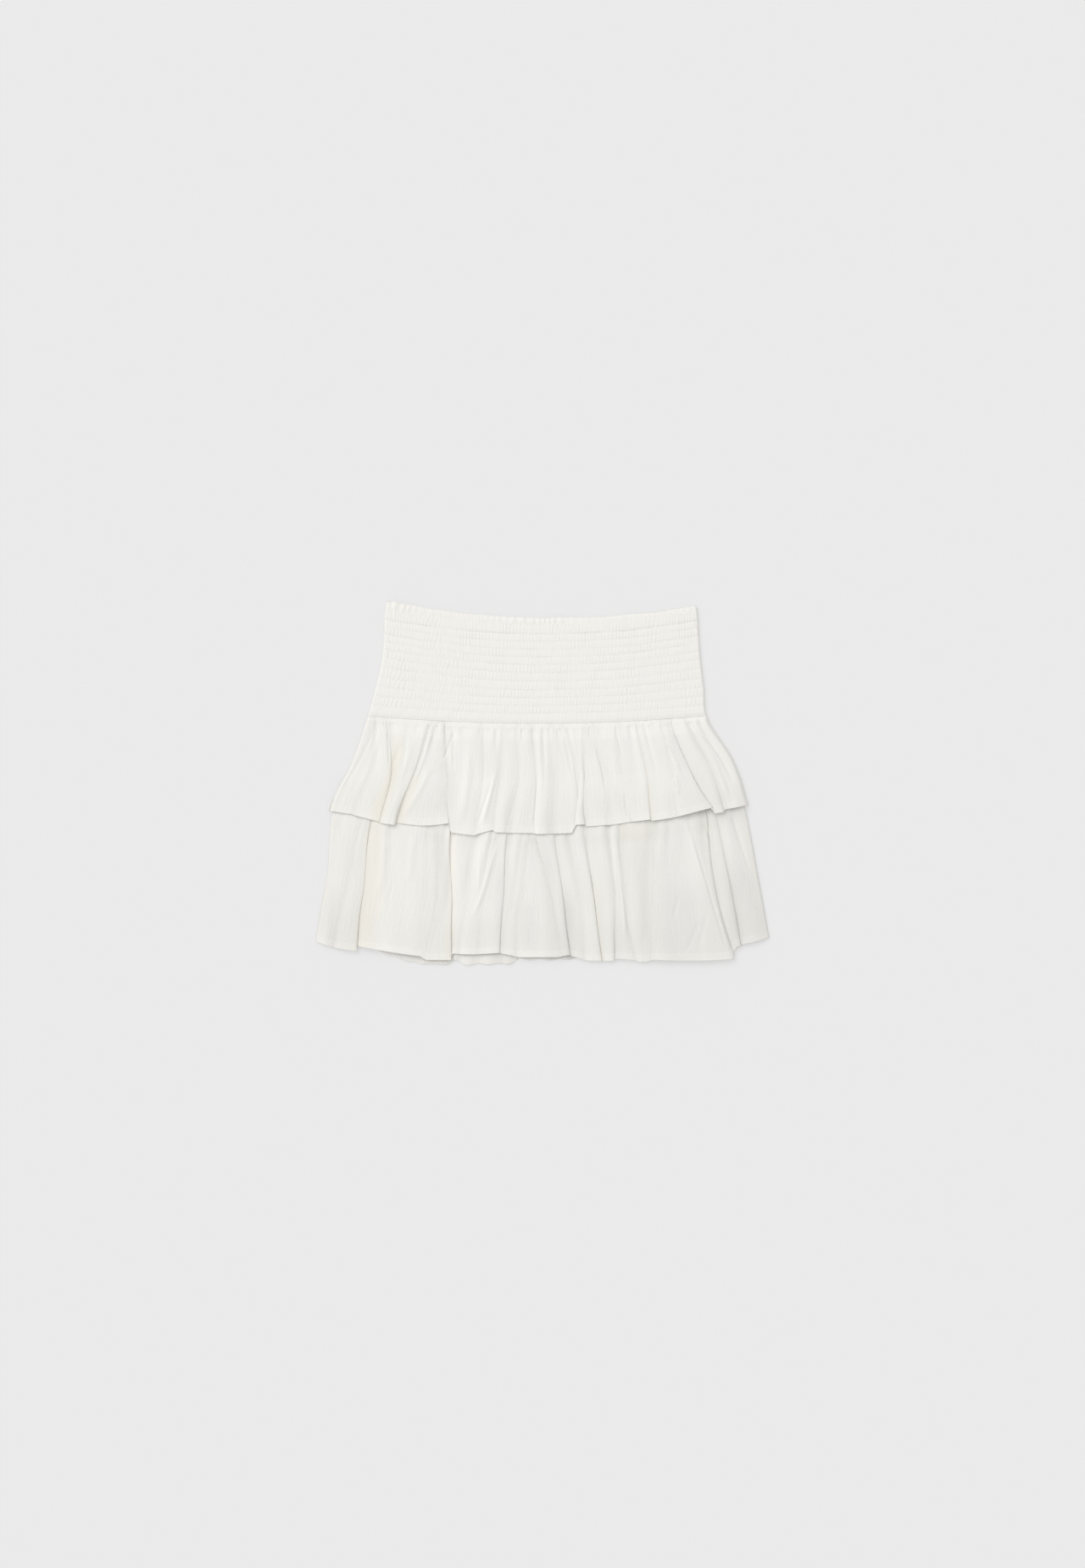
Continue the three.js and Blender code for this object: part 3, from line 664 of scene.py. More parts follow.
def cloth_material(name, colour, fold_shade_colour, crinkle):
    """Woven cotton whose threads, slubs and crinkle follow the cloth. crinkle is 0 for plain and 1 for gauze."""
    material, tree, shader = new_material(name)
    if tree is None:
        return material
    where = wire(tree, "ShaderNodeTexCoord", out="UV")

    def own(label, out="Fac"):
        return wire(tree, "ShaderNodeAttribute", out=out, attribute_name=label)

    # Painted shade and light: the fold colour is mixed in deep in folds, the tone paints light and shade, and the
    # warm tint paints light through the layers.
    shade = blend_colours(tree, own("fold_depth"), fold_shade_colour, colour)
    shade = blend_colours(tree, 1.0, shade, own("tone", "Color"), "MULTIPLY")
    shade = blend_colours(tree, own("warmth"), shade, WARM_TINT, "MULTIPLY")
    slubs = noise(tree, where, 3, (420, 26, 1))
    streaks = wire(tree, "ShaderNodeMapRange", {"Value": slubs, "To Min": SLUB_TONES[0], "To Max": SLUB_TONES[1]})
    creases = noise(tree, where, 4, (520, 42, 1))
    creased = bump(tree, creases, 0.0007 * crinkle + 0.0001, 0.55)
    slubbed = bump(tree, slubs, 0.0005 * crinkle + 0.0001, 0.5, Normal=creased)
    weave = noise(tree, where, 1, (2600, 2600, 1))
    feed(tree, shader, {
        "Base Color": blend_colours(tree, 1.0, shade, streaks, "MULTIPLY"),
        "Normal": bump(tree, weave, 0.00012, 0.5, Normal=slubbed),
        "Roughness": 0.92,
        "Specular IOR Level": 0.25,
        "Sheen Weight": 0.12,
        "Sheen Roughness": 0.6,
    })
    return material


def gauze():
    colours = bpy.context.scene.skort_colours
    return cloth_material("crinkled gauze", colours.gauze, colours.fold, 1.0)


def cotton():
    colours = bpy.context.scene.skort_colours
    return cloth_material("plain cotton", colours.lining, colours.lining, 0.15)


def thread_material():
    material, tree, shader = new_material("sewing thread")
    if tree is None:
        return material
    twist = noise(tree, wire(tree, "ShaderNodeTexCoord", out="Object"), 2, (3000, 3000, 3000))
    feed(tree, shader, {
        "Base Color": speckled(tree, twist, bpy.context.scene.skort_colours.thread, 0.93, 1.04),
        "Normal": bump(tree, twist, 0.0001, 0.5),
        "Roughness": 0.7,
    })
    return material


def floor_material():
    material, tree, shader = new_material("pale floor")
    if tree is None:
        return material
    grain = noise(tree, wire(tree, "ShaderNodeTexCoord", out="Object"), 2, (40, 40, 40))
    feed(tree, shader, {
        "Base Color": speckled(tree, grain, bpy.context.scene.skort_colours.floor, 0.995, 1.005),
        "Roughness": 0.95,
        "Specular IOR Level": 0.1,
        "Emission Color": (1, 1, 1, 1),
        "Emission Strength": FLOOR_GLOW,
    })
    return material


# ------------------------------------------------------------------ a gathered ruffle
# A ruffle's tables, the height of what it lies on, its levels at its top and hem, its length, and the share of it
# that is hidden at its top. inset is how far it stays in from the garment's sides, hangs names the folds' columns
# for its hem, wander is how unevenly a fold runs down, gathers how many small ones there are and reach how far
# down they go, crumple how uneven the cloth is, and settle how much the crests sink at the hem. tucked and dip
# are how far its seam goes in and down under the band. tone is its tone at its left and right, as painted shade
# that darkens it towards the right; hem_tone is painted light, how much lighter the turned hem is painted; and
# hem_turn how far from a valley one fold's hem turns into the next one's.
Ruffle = namedtuple(
    "Ruffle",
    "folds creases shades warmth height top hem length hidden inset hangs wander gathers reach crumple settle"
    " tucked dip tone hem_tone hem_turn seed columns rows",
)
UPPER = Ruffle(
    UPPER_FOLDS, UPPER_CREASES, UPPER_SHADES, UPPER_WARMTH, upper_front_height,
    top=0.0, hem=1.0, length=115, hidden=0.0, inset=0.0, hangs=("drop", "tilt"), wander=0.4, gathers=84,
    reach=0.42, crumple=0.35, settle=0.6, tucked=SEAM_TUCK, dip=0.5, tone=(0.978, 0.974), hem_tone=0.018,
    hem_turn=2.0, seed=5, columns=520, rows=74,
)
LOWER = Ruffle(
    LOWER_FOLDS, LOWER_CREASES, LOWER_SHADES, LOWER_WARMTH, skirt_front_height,
    top=LOWER_TOP, hem=2.0, length=172, hidden=0.26, inset=SKIRT_INSET, hangs=("drop", "tilt"), wander=0.5,
    gathers=96, reach=0.5, crumple=0.5, settle=0.4, tucked=0.0, dip=0.0, tone=(0.984, 0.927), hem_tone=0.034,
    hem_turn=3.5, seed=8, columns=500, rows=80,
)


def fold_grid(folds, columns):
    """Each column's fold and how far along it lies, with more columns close to the valleys."""
    widths = np.array([n.hem - f.hem for f, n in zip(folds, folds[1:] + (FOLD_END,))])
    counts = np.maximum(10, np.round(columns * widths / widths.sum()).astype(int))
    number, along = [], []
    for i, count in enumerate(counts):
        even = np.arange(count) / count
        number += [i] * count
        along += list(mix(even, (1 - np.cos(math.pi * even)) / 2, 0.55))
    number.append(len(folds) - 1)
    along.append(1.0)
    return np.array(number), np.array(along)


def lap(distance, reach):
    """How far the cloth is pushed over a valley that lies at a distance: most at reach, and none at the valley."""
    d = np.maximum(distance, 0) / reach
    return d * np.exp(1 - d)


def creased(across, level, creases):
    """The height that the small creases and ridges of a piece add."""
    height = np.zeros(np.broadcast(across, level).shape)
    for c in creases:
        t = (level - c.from_level) / (c.to_level - c.from_level)
        middle = mix(c.from_share, c.to_share, np.clip(t, 0, 1))
        away = (across - middle) * DRAWN_WIDTH / c.width
        height += c.height * np.exp(-(away**2) * 2.5) * (smooth(t * 4) * smooth((1 - t) * 4))
    return height


def ruffle_face(ruffle, rows_down, columns):
    """The outer face of a ruffle: its grid, fold depth for its painted fold shade, place along the seam, tone of
    painted light and shade, and warmth at each point.
    """
    number, along = fold_grid(ruffle.folds, columns)
    folds = ruffle.folds + (FOLD_END,)

    def column_of(step):
        """A column of the folds' table at each point, of its own fold or of one that many folds further."""
        return lambda name: np.array([getattr(folds[max(0, i + step)], name) for i in number])

    own, after, before = column_of(0), column_of(1), column_of(-1)
    down = rows_down[:, None]
    level = mix(ruffle.top, ruffle.hem, down)
    seen = np.clip((down - ruffle.hidden) / (1 - ruffle.hidden), 0, 1)

    def valley_line(column):
        """Where each column lies, as a share of the width, on a curve through top, middle and hem."""
        top, middle, hem = column("top"), column("middle"), column("hem")
        return top * (1 - seen) * (1 - 2 * seen) + middle * 4 * seen * (1 - seen) + hem * seen * (2 * seen - 1)

    top_share = mix(own("top"), after("top"), along)
    share = mix(valley_line(own), valley_line(after), along)
    across = mix(ruffle.inset, 1 - ruffle.inset, share)
    x, y = in_plan(across, level)
    inside = np.sin(math.pi * np.clip(across, 0, 1)) ** 0.5
    wander = [np.sin((number[None, :] + k) * 2.4 + down * 5.5) for k in (0, 1)]
    x = x + ruffle.wander * mix(*wander, along) * inside * smooth(down * 3) * smooth((1 - down) * 4 + 0.3)

    opened = np.maximum(down, 0) ** FOLD_GROWTH
    garment = at_level("right_x", ruffle.hem) - at_level("left_x", ruffle.hem)
    width = (after("hem") - own("hem")) * garment
    from_left, from_right = along * width, (1 - along) * width

    def valley_shape(column, lapped_reach):
        """How closely the fold's side follows its valley, and how far the fold laps over it."""
        shut = 1 - column("slack") * (4 * seen * (1 - seen)) ** 1.5
        over = column("over") * shut
        reach = mix(SOFT_REACH, SHARP_REACH, column("sharp") * shut)
        return np.minimum(mix(reach, lapped_reach, np.clip(over, 0, 1)), 0.4 * width), over, shut

    own_reach, own_over, own_shut = valley_shape(own, LAPPED_REACH)
    after_reach, after_over, after_shut = valley_shape(after, LAPPING_REACH)
    rising = 1 - own_shut * np.exp(-((from_left / own_reach) ** 1.4))
    falling = 1 - after_shut * np.exp(-((from_right / after_reach) ** 1.4))
    crest = rising * falling * (1 - LEAN * along)
    valley = mix(own("valley"), after("valley"), smooth(along))
    height = opened * (valley + (own("rise") - valley) * crest)

    lapped = lap(from_right, np.minimum(LAP_REACH, width * 0.2))
    pulled = [np.exp(-((distance / PULL_REACH) ** 2)) for distance in (from_left, from_right)]
    x = x + smooth(down * 1.4) * (after_over * (lapped - 0.5 * pulled[1]) - 0.5 * own_over * pulled[0])

    def blended(value, at_left, at_right, distance):
        """A value that changes into the neighbouring folds' within a distance of each valley."""
        at_left = np.where(number == 0, value, at_left)
        at_right = np.where(number == len(ruffle.folds) - 1, value, at_right)
        to_before = (1 - smooth(from_left / distance)) / 2
        to_after = (1 - smooth(from_right / distance)) / 2
        return value + (at_left - value) * to_before + (at_right - value) * to_after

    drop, tilt = ruffle.hangs
    hang = blended(own(drop) + own(tilt) * along, before(drop) + before(tilt), after(drop), ruffle.hem_turn)
    y = y - (hang + own("bow") * np.sin(math.pi * along)) * down**2

    gathers = small_gathers(top_share[None, :], down, ruffle.gathers, ruffle.reach, ruffle.seed)
    z = ruffle.height(across, level) + WALL + height + drawn("gather_height") * gathers
    from_seam = down * ruffle.length
    at_seam = np.exp(-((np.maximum(from_seam, 0) / SEAM_WIDTH) ** 2)) + TUCKED_DIP * smooth(-from_seam)
    settled_by = blended(own("settle"), before("settle"), after("settle"), SETTLE_TURN)
    flattened = ruffle.settle * (0.5 + 0.3 * own("rise") * crest)
    z = z - ruffle.dip * at_seam - smooth((down - 0.75) / 0.25) * flattened
    z = z - smooth((down - 0.55) / 0.45) * settled_by
    soft = ripple(top_share[None, :] * 400, down * ruffle.length * 0.45, ruffle.seed + 1, 24)
    z = z + ruffle.crumple * soft * smooth(down * 3) * (0.35 + 0.65 * crest)
    z = z + creased(across, level, ruffle.creases)
    z = RUFFLE_EDGE + (z - RUFFLE_EDGE) * mix(0.15, 1, side_roll(x, RUFFLE_ROLL))

    # Painted fold shade: depth is lowest in the valleys and rises towards each fold's crest and middle, and near
    # the seam where the folds have not opened.
    depth = 0.1 + 0.55 * crest + 0.35 * np.sin(math.pi * along) ** 0.5 + 0.4 * (1 - opened)
    # Painted shade that darkens the ruffle towards its right, with the painted light and shade of its table.
    tone = mix(*ruffle.tone, smooth(across)) * (1 + creased(across, level, ruffle.shades))
    return grid_of(x, y, z), depth, top_share, tone, creased(across, level, ruffle.warmth)


def rows_to_hem(rows, length, tucked):
    """Rows down a ruffle: close at its seam, even, and close again where its hem is turned."""
    seam = np.array([-1.0, -0.5, 0.0, 0.3, 0.7, 1.2, 1.8, 2.6])
    seam = np.where(seam < 0, seam * tucked, seam)[0 if tucked else 2 :] / length
    start = 1 - (drawn("hem_depth") + 1.2) / length
    middle = np.linspace(seam[-1] + 1 / length, start, rows, endpoint=False)
    return np.concatenate([seam, middle, np.linspace(start, 1, 12)])


def window(values, reach, how):
    """Each value's neighbours within reach taken together, such as by how=np.max, along both axes."""
    for axis in (0, 1):
        padded = np.pad(values, [(reach, reach) if a == axis else (0, 0) for a in (0, 1)], mode="edge")
        places = np.arange(values.shape[axis])
        values = how([np.take(padded, places + step, axis) for step in range(2 * reach + 1)], axis=0)
    return values


def lift_over(grid, thickness, under):
    """How much each point of a face is raised so that the cloth rests on the face under it, and not in it."""
    cell = np.array([1.25, 2.5])
    corner = under[..., :2].reshape(-1, 2).min(axis=0) - 2 * cell
    size = ((under[..., :2].reshape(-1, 2).max(axis=0) - corner) / cell).astype(int) + 3

    def place(points):
        found = np.clip(((points[..., :2] - corner) / cell).astype(int), 0, size - 1)
        return found[..., 0], found[..., 1]

    heights = np.full(size, -100.0)
    np.maximum.at(heights, place(under), under[..., 2])
    needed = window(heights, 1, np.max)[place(grid)] + thickness + REST - grid[..., 2]
    return window(window(np.maximum(needed, 0), 3, np.max), 3, np.mean)


def front_face(ruffle):
    """A front ruffle's rows, and at each point its place, the thickness of its cloth, and how it looks. The cloth
    is twice as thick at the turned hem."""
    rows_down = rows_to_hem(ruffle.rows, ruffle.length, ruffle.tucked)
    grid, depth, _, tone, warmth = ruffle_face(ruffle, rows_down, ruffle.columns)
    turned = smooth(((rows_down - 1) * ruffle.length + drawn("hem_depth")) / HEM_STEP + 0.5)
    thickness = (drawn("cloth") * (1 + turned))[:, None]
    grid[..., 2] += (thickness - thickness[0]) * 0.5
    # Painted light: the turned hem is painted lighter.
    tone = tone * (1 + ruffle.hem_tone * (thickness / thickness[0] - 1))
    return rows_down, grid, thickness, {"depth": depth, "tone": tone, "warmth": warmth}


def ruffle_front(node, ruffle, under=None):
    """A front ruffle with the stitches of its hem. Over another face, it rests on that."""
    rows_down, grid, thickness, looks = front_face(ruffle)
    if under is not None:
        grid[..., 2] += lift_over(grid, thickness, under)
    row = int(np.argmin(np.abs((1 - rows_down) * ruffle.length - (drawn("hem_depth") - HEM_SEWN))))
    piece(node, grid, thickness, [grid[row] + grid_normals(grid)[row] * STITCH_PROUD], **looks)


def ruffle_back(node, ruffle, columns, rows, under, hem_wave):
    """A ruffle that lies flat on the surface, pressed into shallow creases, with a hem that waves a little. under
    is how far the upper back ruffle lifts it."""
    rows_down = rows_to_hem(rows, ruffle.length, 0.0)
    pressed = ruffle._replace(folds=tuple(fold._replace(over=0.0) for fold in ruffle.folds))
    grid, _, share, tone, _ = ruffle_face(pressed, rows_down, columns)
    down = rows_down[:, None]
    number, along = fold_grid(ruffle.folds, columns)
    crease = (1 - np.sin(math.pi * along) ** 0.35) * smooth(down * 2.5)
    pleats = small_gathers(share[None, :], down, ruffle.gathers, ruffle.reach * 0.8, ruffle.seed + 9)
    lifted = under * on_upper_back(mix(ruffle.top, ruffle.hem, down))
    z = lifted + 0.75 * crease + 0.35 * np.clip(-pleats, 0, 1)
    late = smooth((down - 0.88) / 0.12)
    waves = np.sin(math.pi * along) ** 2 * np.array([ruffle.folds[i].rise for i in number]) * hem_wave
    curl = ripple(grid[..., 0], 0 * z, ruffle.seed + 3, 26)
    grid[..., 1] -= 1.2 * curl * late
    grid[..., 2] = z + late * (waves + 0.3 * np.clip(1 + curl, 0, 2))
    # Painted shade: the back is painted part of the way to the fold colour all over.
    piece(node, grid, drawn("cloth"), depth=0.6, tone=tone, up=False)


# ------------------------------------------------------------------ the smocked waistband
def elastic_levels():
    """The level of each row of elastic, and of the waist seam at the end."""
    return -1 + np.concatenate([[0], np.cumsum(BAND_DEPTHS)]) / BAND_DEPTH


def smocking(across, level, puffs, seed):
    """Height of the smocking, from 0 in its rows of elastic to about 1 on its puffs, for points between them."""
    rows = elastic_levels()
    wide, tall = across * BAND_WIDTH, level * BAND_DEPTH
    tall = tall + 0.5 * ripple(wide, tall * 0.3, seed + 7, 75) * smooth((1 + level) * 12) * smooth(-level * 12)
    level = np.clip(tall / BAND_DEPTH, -1, -1e-6)
    band = np.clip(np.searchsorted(rows, level, side="right") - 1, 0, len(rows) - 2)
    high = (rows[band + 1] - rows[band]) * BAND_DEPTH
    t = (level - rows[band]) * BAND_DEPTH / high
    from_row = np.minimum(t, np.where(band == len(rows) - 2, 1, 1 - t)) * high
    nearest = band + (t > 0.5)
    tight = (0.7 + 0.3 * ripple(wide, nearest * 31.0, seed + 1, 60)) * np.where(
        nearest == CASING_ROW, CASING_DEPTH, ROW_DEPTH
    )
    swell = 1 - tight * np.exp(-((from_row / ROW_WIDTH) ** 2)) - 0.25 * tight * np.exp(-from_row / ROW_DIP)
    patches = smooth(0.5 + 0.8 * ripple(wide, band * 17.0, seed + 2, 34))
    shift = 0.3 * np.sin(band * 2.9) + 0.6 * ripple(wide, tall * 0.5, seed + 3, 40)
    pleat = np.abs(np.sin(math.pi * (across * puffs + shift)))
    wrinkled = (0.10 + 0.42 * patches * smooth(-level * 7)) * (pleat - 0.6)
    return (0.8 + 0.08 * ripple(wide, tall * 2, seed, 20)) * swell + wrinkled


def frill_wave(across, up, seed):
    """How the frill stands: its height over its foot, and how far its edge reaches out, at each point."""
    wide = across * BAND_WIDTH
    uneven = ripple(wide, 0 * wide, seed, 45)
    turn = 2 * math.pi * (wide / FRILL_PITCH + 0.6 * ripple(wide, 0 * wide, seed + 1, 28))
    wave = (0.5 + 0.5 * np.sin(turn)) ** 1.5
    fine = np.abs(np.sin(turn * 1.04 + 2 * up + seed))
    grouped = sum(much * np.exp(-(((wide - middle) / reach) ** 2)) for middle, reach, much in LOOP_PLACES)
    loops = np.clip(0.22 + 0.25 * ripple(wide, 0 * wide, seed + 2, 70) + grouped, 0.12, 1.15)
    height = smooth(up * 2.2) * (0.2 + loops * (1.1 + 0.4 * uneven) * wave + (0.25 + 0.2 * loops) * fine)
    return height, 0.5 * uneven + 0.6 * loops * wave - 0.3


def waistband(node, front, puffs, columns, seed):
    """The front or the back of the waistband, with its frill and, at the front, its rows of stitches."""
    rows = elastic_levels()
    steps = ROW_STEPS if front else ROW_STEPS[::2]
    bands = [mix(a, b, steps) for a, b in zip(rows[:-1], rows[1:])]
    bands[-1] = bands[-1][bands[-1] < SEAM_LEVELS[0]]
    levels = np.concatenate([FRILL_LEVELS, *bands, SEAM_LEVELS])[:, None]
    across = np.linspace(0, 1, columns + 1)[None, :]
    x, y = in_plan(across, levels)
    relief = smocking(across, levels, puffs, seed)
    up = np.clip((-1 - levels) / (-1 - FRILL_TOP), 0, 1)
    frilled, reaching = frill_wave(across, up, seed + 10)
    relief = np.where(up > 0, relief * (1 - smooth(up * 3)) + frilled, relief)
    y = y + up**2 * reaching
    roll = side_roll(x, EDGE_ROLL)
    puff = drawn("puff_height")
    if front:
        z = BAND_HEIGHT + BAND_WALL - 0.25 + puff * relief
        z = z - SEAM_FALL * smooth(1 + levels / SEAM_TURN) - FRILL_FALL * up**1.5
        z = EDGE_HEIGHT + (z - EDGE_HEIGHT) * roll
    else:
        z = np.maximum(puff * 1.25 - puff * np.minimum(relief, 1.2), 0.02) + (1 - roll) * 1.3
    outer = grid_of(x, y, z)
    sewn = [outer[int(np.argmin(np.abs(levels[:, 0] - row))), 3:-3] + (0, 0, ROW_PROUD) for row in rows[:-1]]
    # Painted shade: the band darker towards its right side, and a little darker in the grooves over its rows of
    # elastic.
    tone = mix(*BAND_TONE, smooth(2 * across - 1))
    depth = smooth(0.6 + 0.5 * relief)
    piece(node, outer, drawn("cloth"), sewn if front else (), depth=depth, tone=tone, up=front)


# ------------------------------------------------------------------ stitches
def stitch_tree():
    """Geometry nodes that sew stitches of an even pitch along every line of a mesh."""
    tree = bpy.data.node_groups.get("row of stitches")
    if tree:
        return tree
    tree = bpy.data.node_groups.new("row of stitches", "GeometryNodeTree")
    face = tree.interface
    face.new_socket("Lines", in_out="INPUT", socket_type="NodeSocketGeometry")
    for label in ("Pitch", "Length", "Thickness"):
        face.new_socket(label, in_out="INPUT", socket_type="NodeSocketFloat")
    face.new_socket("Thread", in_out="INPUT", socket_type="NodeSocketMaterial")
    face.new_socket("Stitches", in_out="OUTPUT", socket_type="NodeSocketGeometry")
    given = tree.nodes.new("NodeGroupInput").outputs

    curve = wire(tree, "GeometryNodeMeshToCurve", {"Mesh": given["Lines"]})
    spaced = wire(tree, "GeometryNodeResampleCurve", {"Curve": curve, "Length": given["Pitch"]}, mode="LENGTH")
    ball = wire(tree, "GeometryNodeMeshUVSphere", {"Segments": 6, "Rings": 5, "Radius": 0.5})
    thick = given["Thickness"]
    size = wire(tree, "ShaderNodeCombineXYZ", {"X": thick, "Y": thick, "Z": given["Length"]})
    tangent = wire(tree, "GeometryNodeInputTangent")
    along = wire(tree, "FunctionNodeAlignRotationToVector", {"Vector": tangent}, axis="Z")
    placing = {"Points": spaced, "Instance": ball, "Rotation": along, "Scale": size}
    sewn = wire(tree, "GeometryNodeInstanceOnPoints", placing)
    for kind in ("GeometryNodeRealizeInstances", "GeometryNodeSetShadeSmooth"):
        sewn = wire(tree, kind, {"Geometry": sewn})
    sewn = wire(tree, "GeometryNodeSetMaterial", {"Geometry": sewn, "Material": given["Thread"]})
    wire(tree, "NodeGroupOutput", {"Stitches": sewn})
    return tree


def sew(name, lines):
    """Stitches along lines of points of the drawing, as one plain mesh."""
    sizes = bpy.context.scene.skort_sizes
    edges, start = [], 0
    for line in lines:
        edges += [(start + i, start + i + 1) for i in range(len(line) - 1)]
        start += len(line)
    mesh = bpy.data.meshes.new(name + "_line")
    mesh.from_pydata(placed(np.concatenate(lines)).tolist(), edges, [])
    path = bpy.data.objects.new(name + "_line", mesh)
    bpy.context.scene.collection.objects.link(path)
    modifier = path.modifiers.new("Stitches", "NODES")
    modifier.node_group = stitch_tree()
    values = {
        "Pitch": sizes.stitch_pitch,
        "Length": sizes.stitch,
        "Thickness": sizes.thread,
        "Thread": thread_material(),
    }
    for item in modifier.node_group.interface.items_tree:
        if item.name in values and item.in_out == "INPUT":
            modifier[item.identifier] = values[item.name]
    graph = bpy.context.evaluated_depsgraph_get()
    made = bpy.data.objects.new(name, bpy.data.meshes.new_from_object(path.evaluated_get(graph)))
    bpy.context.scene.collection.objects.link(made)
    bpy.data.objects.remove(path, do_unlink=True)
    if not made.data.polygons:
        raise RuntimeError(name + " has no stitches")
    return made


# ------------------------------------------------------------------ operators: one for each group of pieces
class SKORT_OT_waistband(bpy.types.Operator):
    """The smocked waistband, front and back, with its frill and its rows of elastic thread"""

    bl_idname = "skort.waistband"
    bl_label = "Waistband"

    def execute(self, context):
        puffs = context.scene.skort_sizes.puffs
        waistband("waistband_front", True, puffs, puffs * 4, 11)
        waistband("waistband_back", False, puffs, puffs * 3, 47)
        return {"FINISHED"}


class SKORT_OT_upper_ruffle(bpy.types.Operator):
    """The upper ruffle, front and back, gathered into the waist seam"""

    bl_idname = "skort.upper_ruffle"
    bl_label = "Upper ruffle"

    def execute(self, context):
        _, under, _, _ = front_face(LOWER)
        ruffle_front("upper_ruffle_front", UPPER, under)
        ruffle_back("upper_ruffle_back", UPPER, columns=260, rows=40, under=0.0, hem_wave=0.0)
        return {"FINISHED"}


class SKORT_OT_lower_ruffle(bpy.types.Operator):
    """The lower ruffle, front and back, gathered onto the underskirt"""

    bl_idname = "skort.lower_ruffle"
    bl_label = "Lower ruffle"

    def execute(self, context):
        ruffle_front("lower_ruffle_front", LOWER)
        back = LOWER._replace(hangs=("back_drop", "back_tilt"))
        ruffle_back("lower_ruffle_back", back, columns=320, rows=60, under=LIFT, hem_wave=0.4)
        return {"FINISHED"}


class SKORT_OT_underskirt(bpy.types.Operator):
    """The plain underskirt between the waist seam and the lower ruffle, front and back"""

    bl_idname = "skort.underskirt"
    bl_label = "Underskirt"

    def execute(self, context):
        cloth = drawn("cloth")
        levels = np.linspace(UNDERSKIRT_TOP, LOWER_TOP - 0.003, 36)[:, None]
        across = np.linspace(SKIRT_INSET, 1 - SKIRT_INSET, 140)[None, :]
        x, y = in_plan(across, levels)
        rumple = 0.12 * ripple(across * 400, levels * 110, 31, 30)
        front = grid_of(x, y, skirt_front_height(across, levels) + WALL - 0.15 + rumple)
        piece("underskirt_front", front, cloth)
        back = grid_of(x, y, LIFT * on_upper_back(levels) + WALL - 0.4 - cloth + 0.5 * rumple)
        piece("underskirt_back", back, cloth, up=False)
        return {"FINISHED"}


class SKORT_OT_shorts(bpy.types.Operator):
    """The four panels of the shorts inside the skirt"""

    bl_idname = "skort.shorts"
    bl_label = "Shorts"

    def execute(self, context):
        levels = np.linspace(SHORTS_TOP, SHORTS_HEM, 70)[:, None]
        share = np.linspace(0, 1, 60)[None, :]
        hem = smooth((levels - SHORTS_HEM + 0.09) / 0.01)
        parted = share * mix(GAP / 2, LEG_PARTING, np.clip((levels - CROTCH) / (SHORTS_HEM - CROTCH), 0, 1))
        reach = mix(SHORTS_INSET, 0.5, share)
        for side, left in (("left", True), ("right", False)):
            x, y = in_plan(reach if left else 1 - reach, levels)
            x = x - parted if left else x + parted
            for face, layer, over in (("front", 2, WALL - 0.2), ("back", 1, 0.3)):
                rumple = 0.1 * ripple(x, y, 71 if left else 83, 30)
                outer = grid_of(x, y, LIFT * (on_upper_back(levels) + layer) + over + rumple)
                if not left:
                    outer = outer[:, ::-1]
                thickness = drawn("cloth") * (1 + 0.5 * hem)
                piece(f"shorts_{face}_{side}", outer, thickness, up=face == "front")
        return {"FINISHED"}


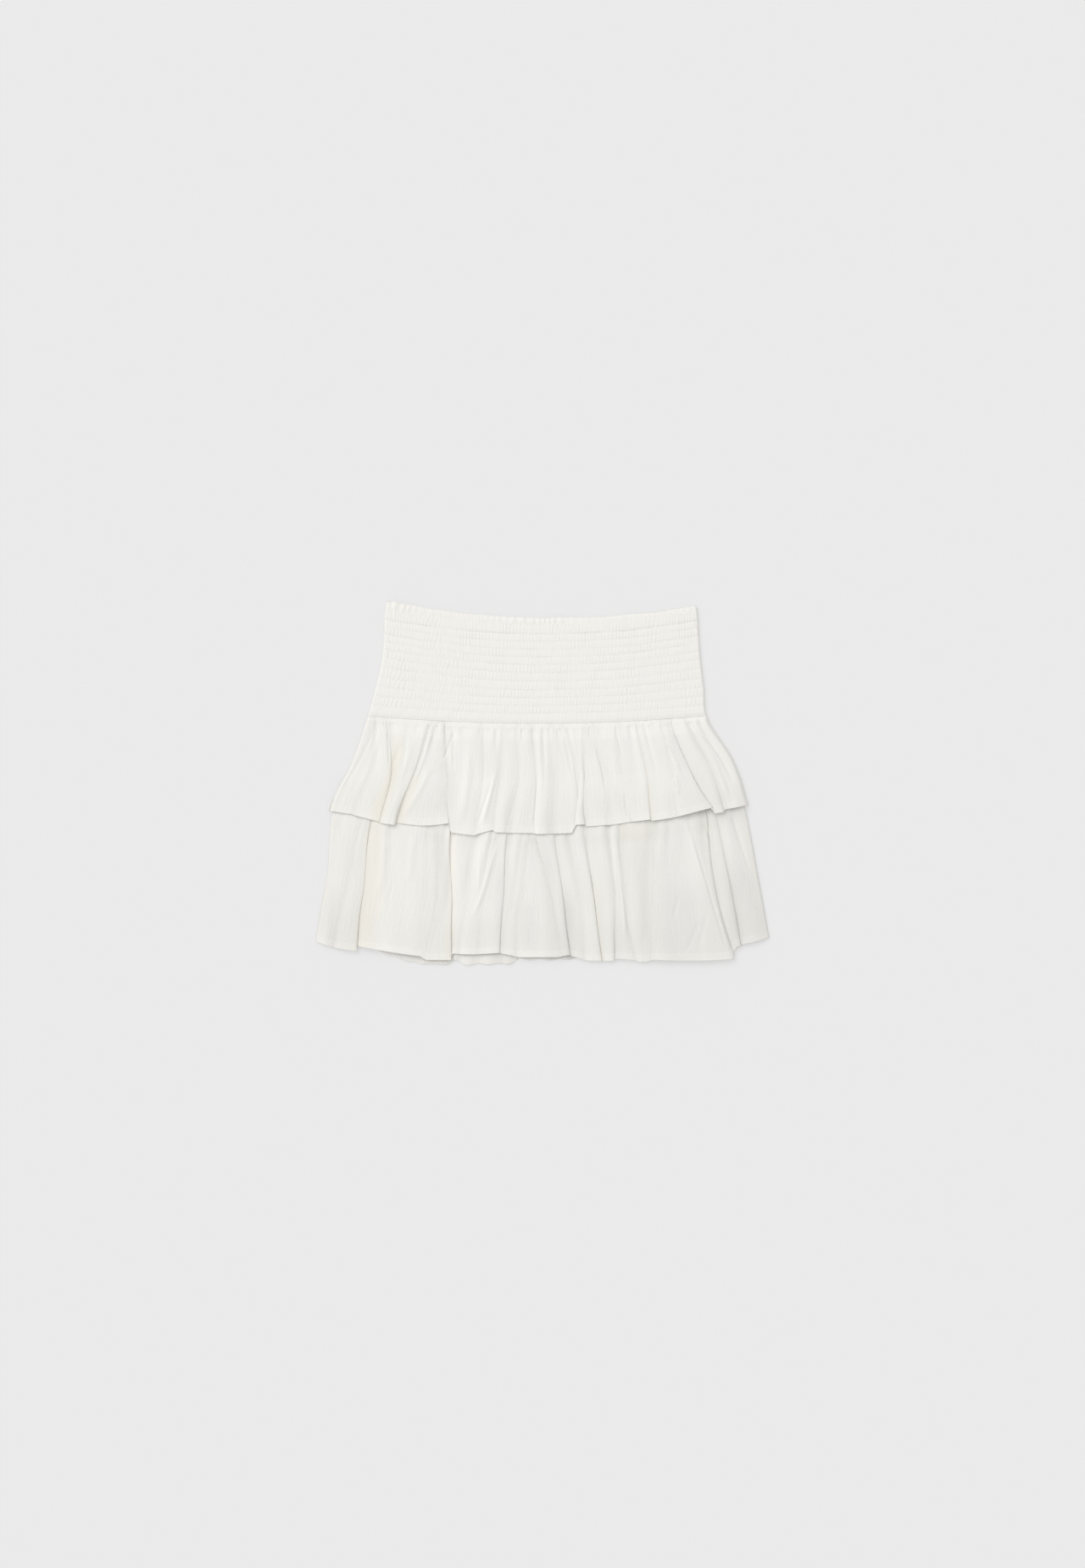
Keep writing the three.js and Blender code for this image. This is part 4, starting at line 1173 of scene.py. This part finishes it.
class SKORT_OT_stage(bpy.types.Operator):
    """The floor, the studio lights and the camera straight above"""

    bl_idname = "skort.stage"
    bl_label = "Stage"

    def execute(self, context):
        scene = context.scene
        bpy.ops.mesh.primitive_plane_add(size=FLOOR_SIZE, location=(0, 0, CAD_LOW.z - 0.0003))
        floor = context.object
        floor.name = "floor"
        floor.data.materials.append(floor_material())

        key = bpy.data.lights.new("key", "SUN")
        key.energy = KEY_ENERGY
        key.angle = math.radians(KEY_ANGLE)
        lamp = bpy.data.objects.new("key", key)
        lamp.rotation_mode = "QUATERNION"
        lamp.rotation_quaternion = Vector(KEY_DIRECTION).to_track_quat("-Z", "Y")
        scene.collection.objects.link(lamp)

        scene.world = bpy.data.worlds.new("studio")
        scene.world.use_nodes = True
        background = scene.world.node_tree.nodes["Background"]
        background.inputs["Color"].default_value = (1, 1, 1, 1)
        background.inputs["Strength"].default_value = STUDIO_LIGHT

        lens = bpy.data.cameras.new("camera")
        lens.lens = LENS
        lens.sensor_width = SENSOR
        lens.clip_end = 50
        camera = bpy.data.objects.new("camera", lens)
        zero = placed(np.zeros((1, 3)))[0]
        camera.location = (zero[0], zero[1], VIEW_HEIGHT * MM + LONG_SIDE * MM * lens.lens / lens.sensor_width)
        scene.collection.objects.link(camera)
        scene.camera = camera
        scene.view_settings.view_transform = "Standard"
        scene.view_settings.look = "None"
        return {"FINISHED"}


class SKORT_PT_panel(bpy.types.Panel):
    bl_label = "Ruffle skort"
    bl_idname = "SKORT_PT_panel"
    bl_space_type = "VIEW_3D"
    bl_region_type = "UI"
    bl_category = "Skort"

    def draw(self, context):
        for group in (context.scene.skort_sizes, context.scene.skort_colours):
            box = self.layout.box()
            for name in group.__annotations__:
                box.prop(group, name)
        for operator in OPERATORS:
            self.layout.operator(operator.bl_idname)


OPERATORS = (
    SKORT_OT_waistband,
    SKORT_OT_upper_ruffle,
    SKORT_OT_lower_ruffle,
    SKORT_OT_underskirt,
    SKORT_OT_shorts,
    SKORT_OT_stage,
)
CLASSES = (SkortSizes, SkortColours, *OPERATORS, SKORT_PT_panel)


def register():
    for cls in CLASSES:
        bpy.utils.register_class(cls)
    bpy.types.Scene.skort_sizes = PointerProperty(type=SkortSizes)
    bpy.types.Scene.skort_colours = PointerProperty(type=SkortColours)


def unregister():
    del bpy.types.Scene.skort_colours
    del bpy.types.Scene.skort_sizes
    for cls in reversed(CLASSES):
        bpy.utils.unregister_class(cls)


def main():
    register()
    bpy.ops.skort.waistband()
    bpy.ops.skort.upper_ruffle()
    bpy.ops.skort.lower_ruffle()
    bpy.ops.skort.underskirt()
    bpy.ops.skort.shorts()
    bpy.ops.skort.stage()


if __name__ == "__main__":
    main()
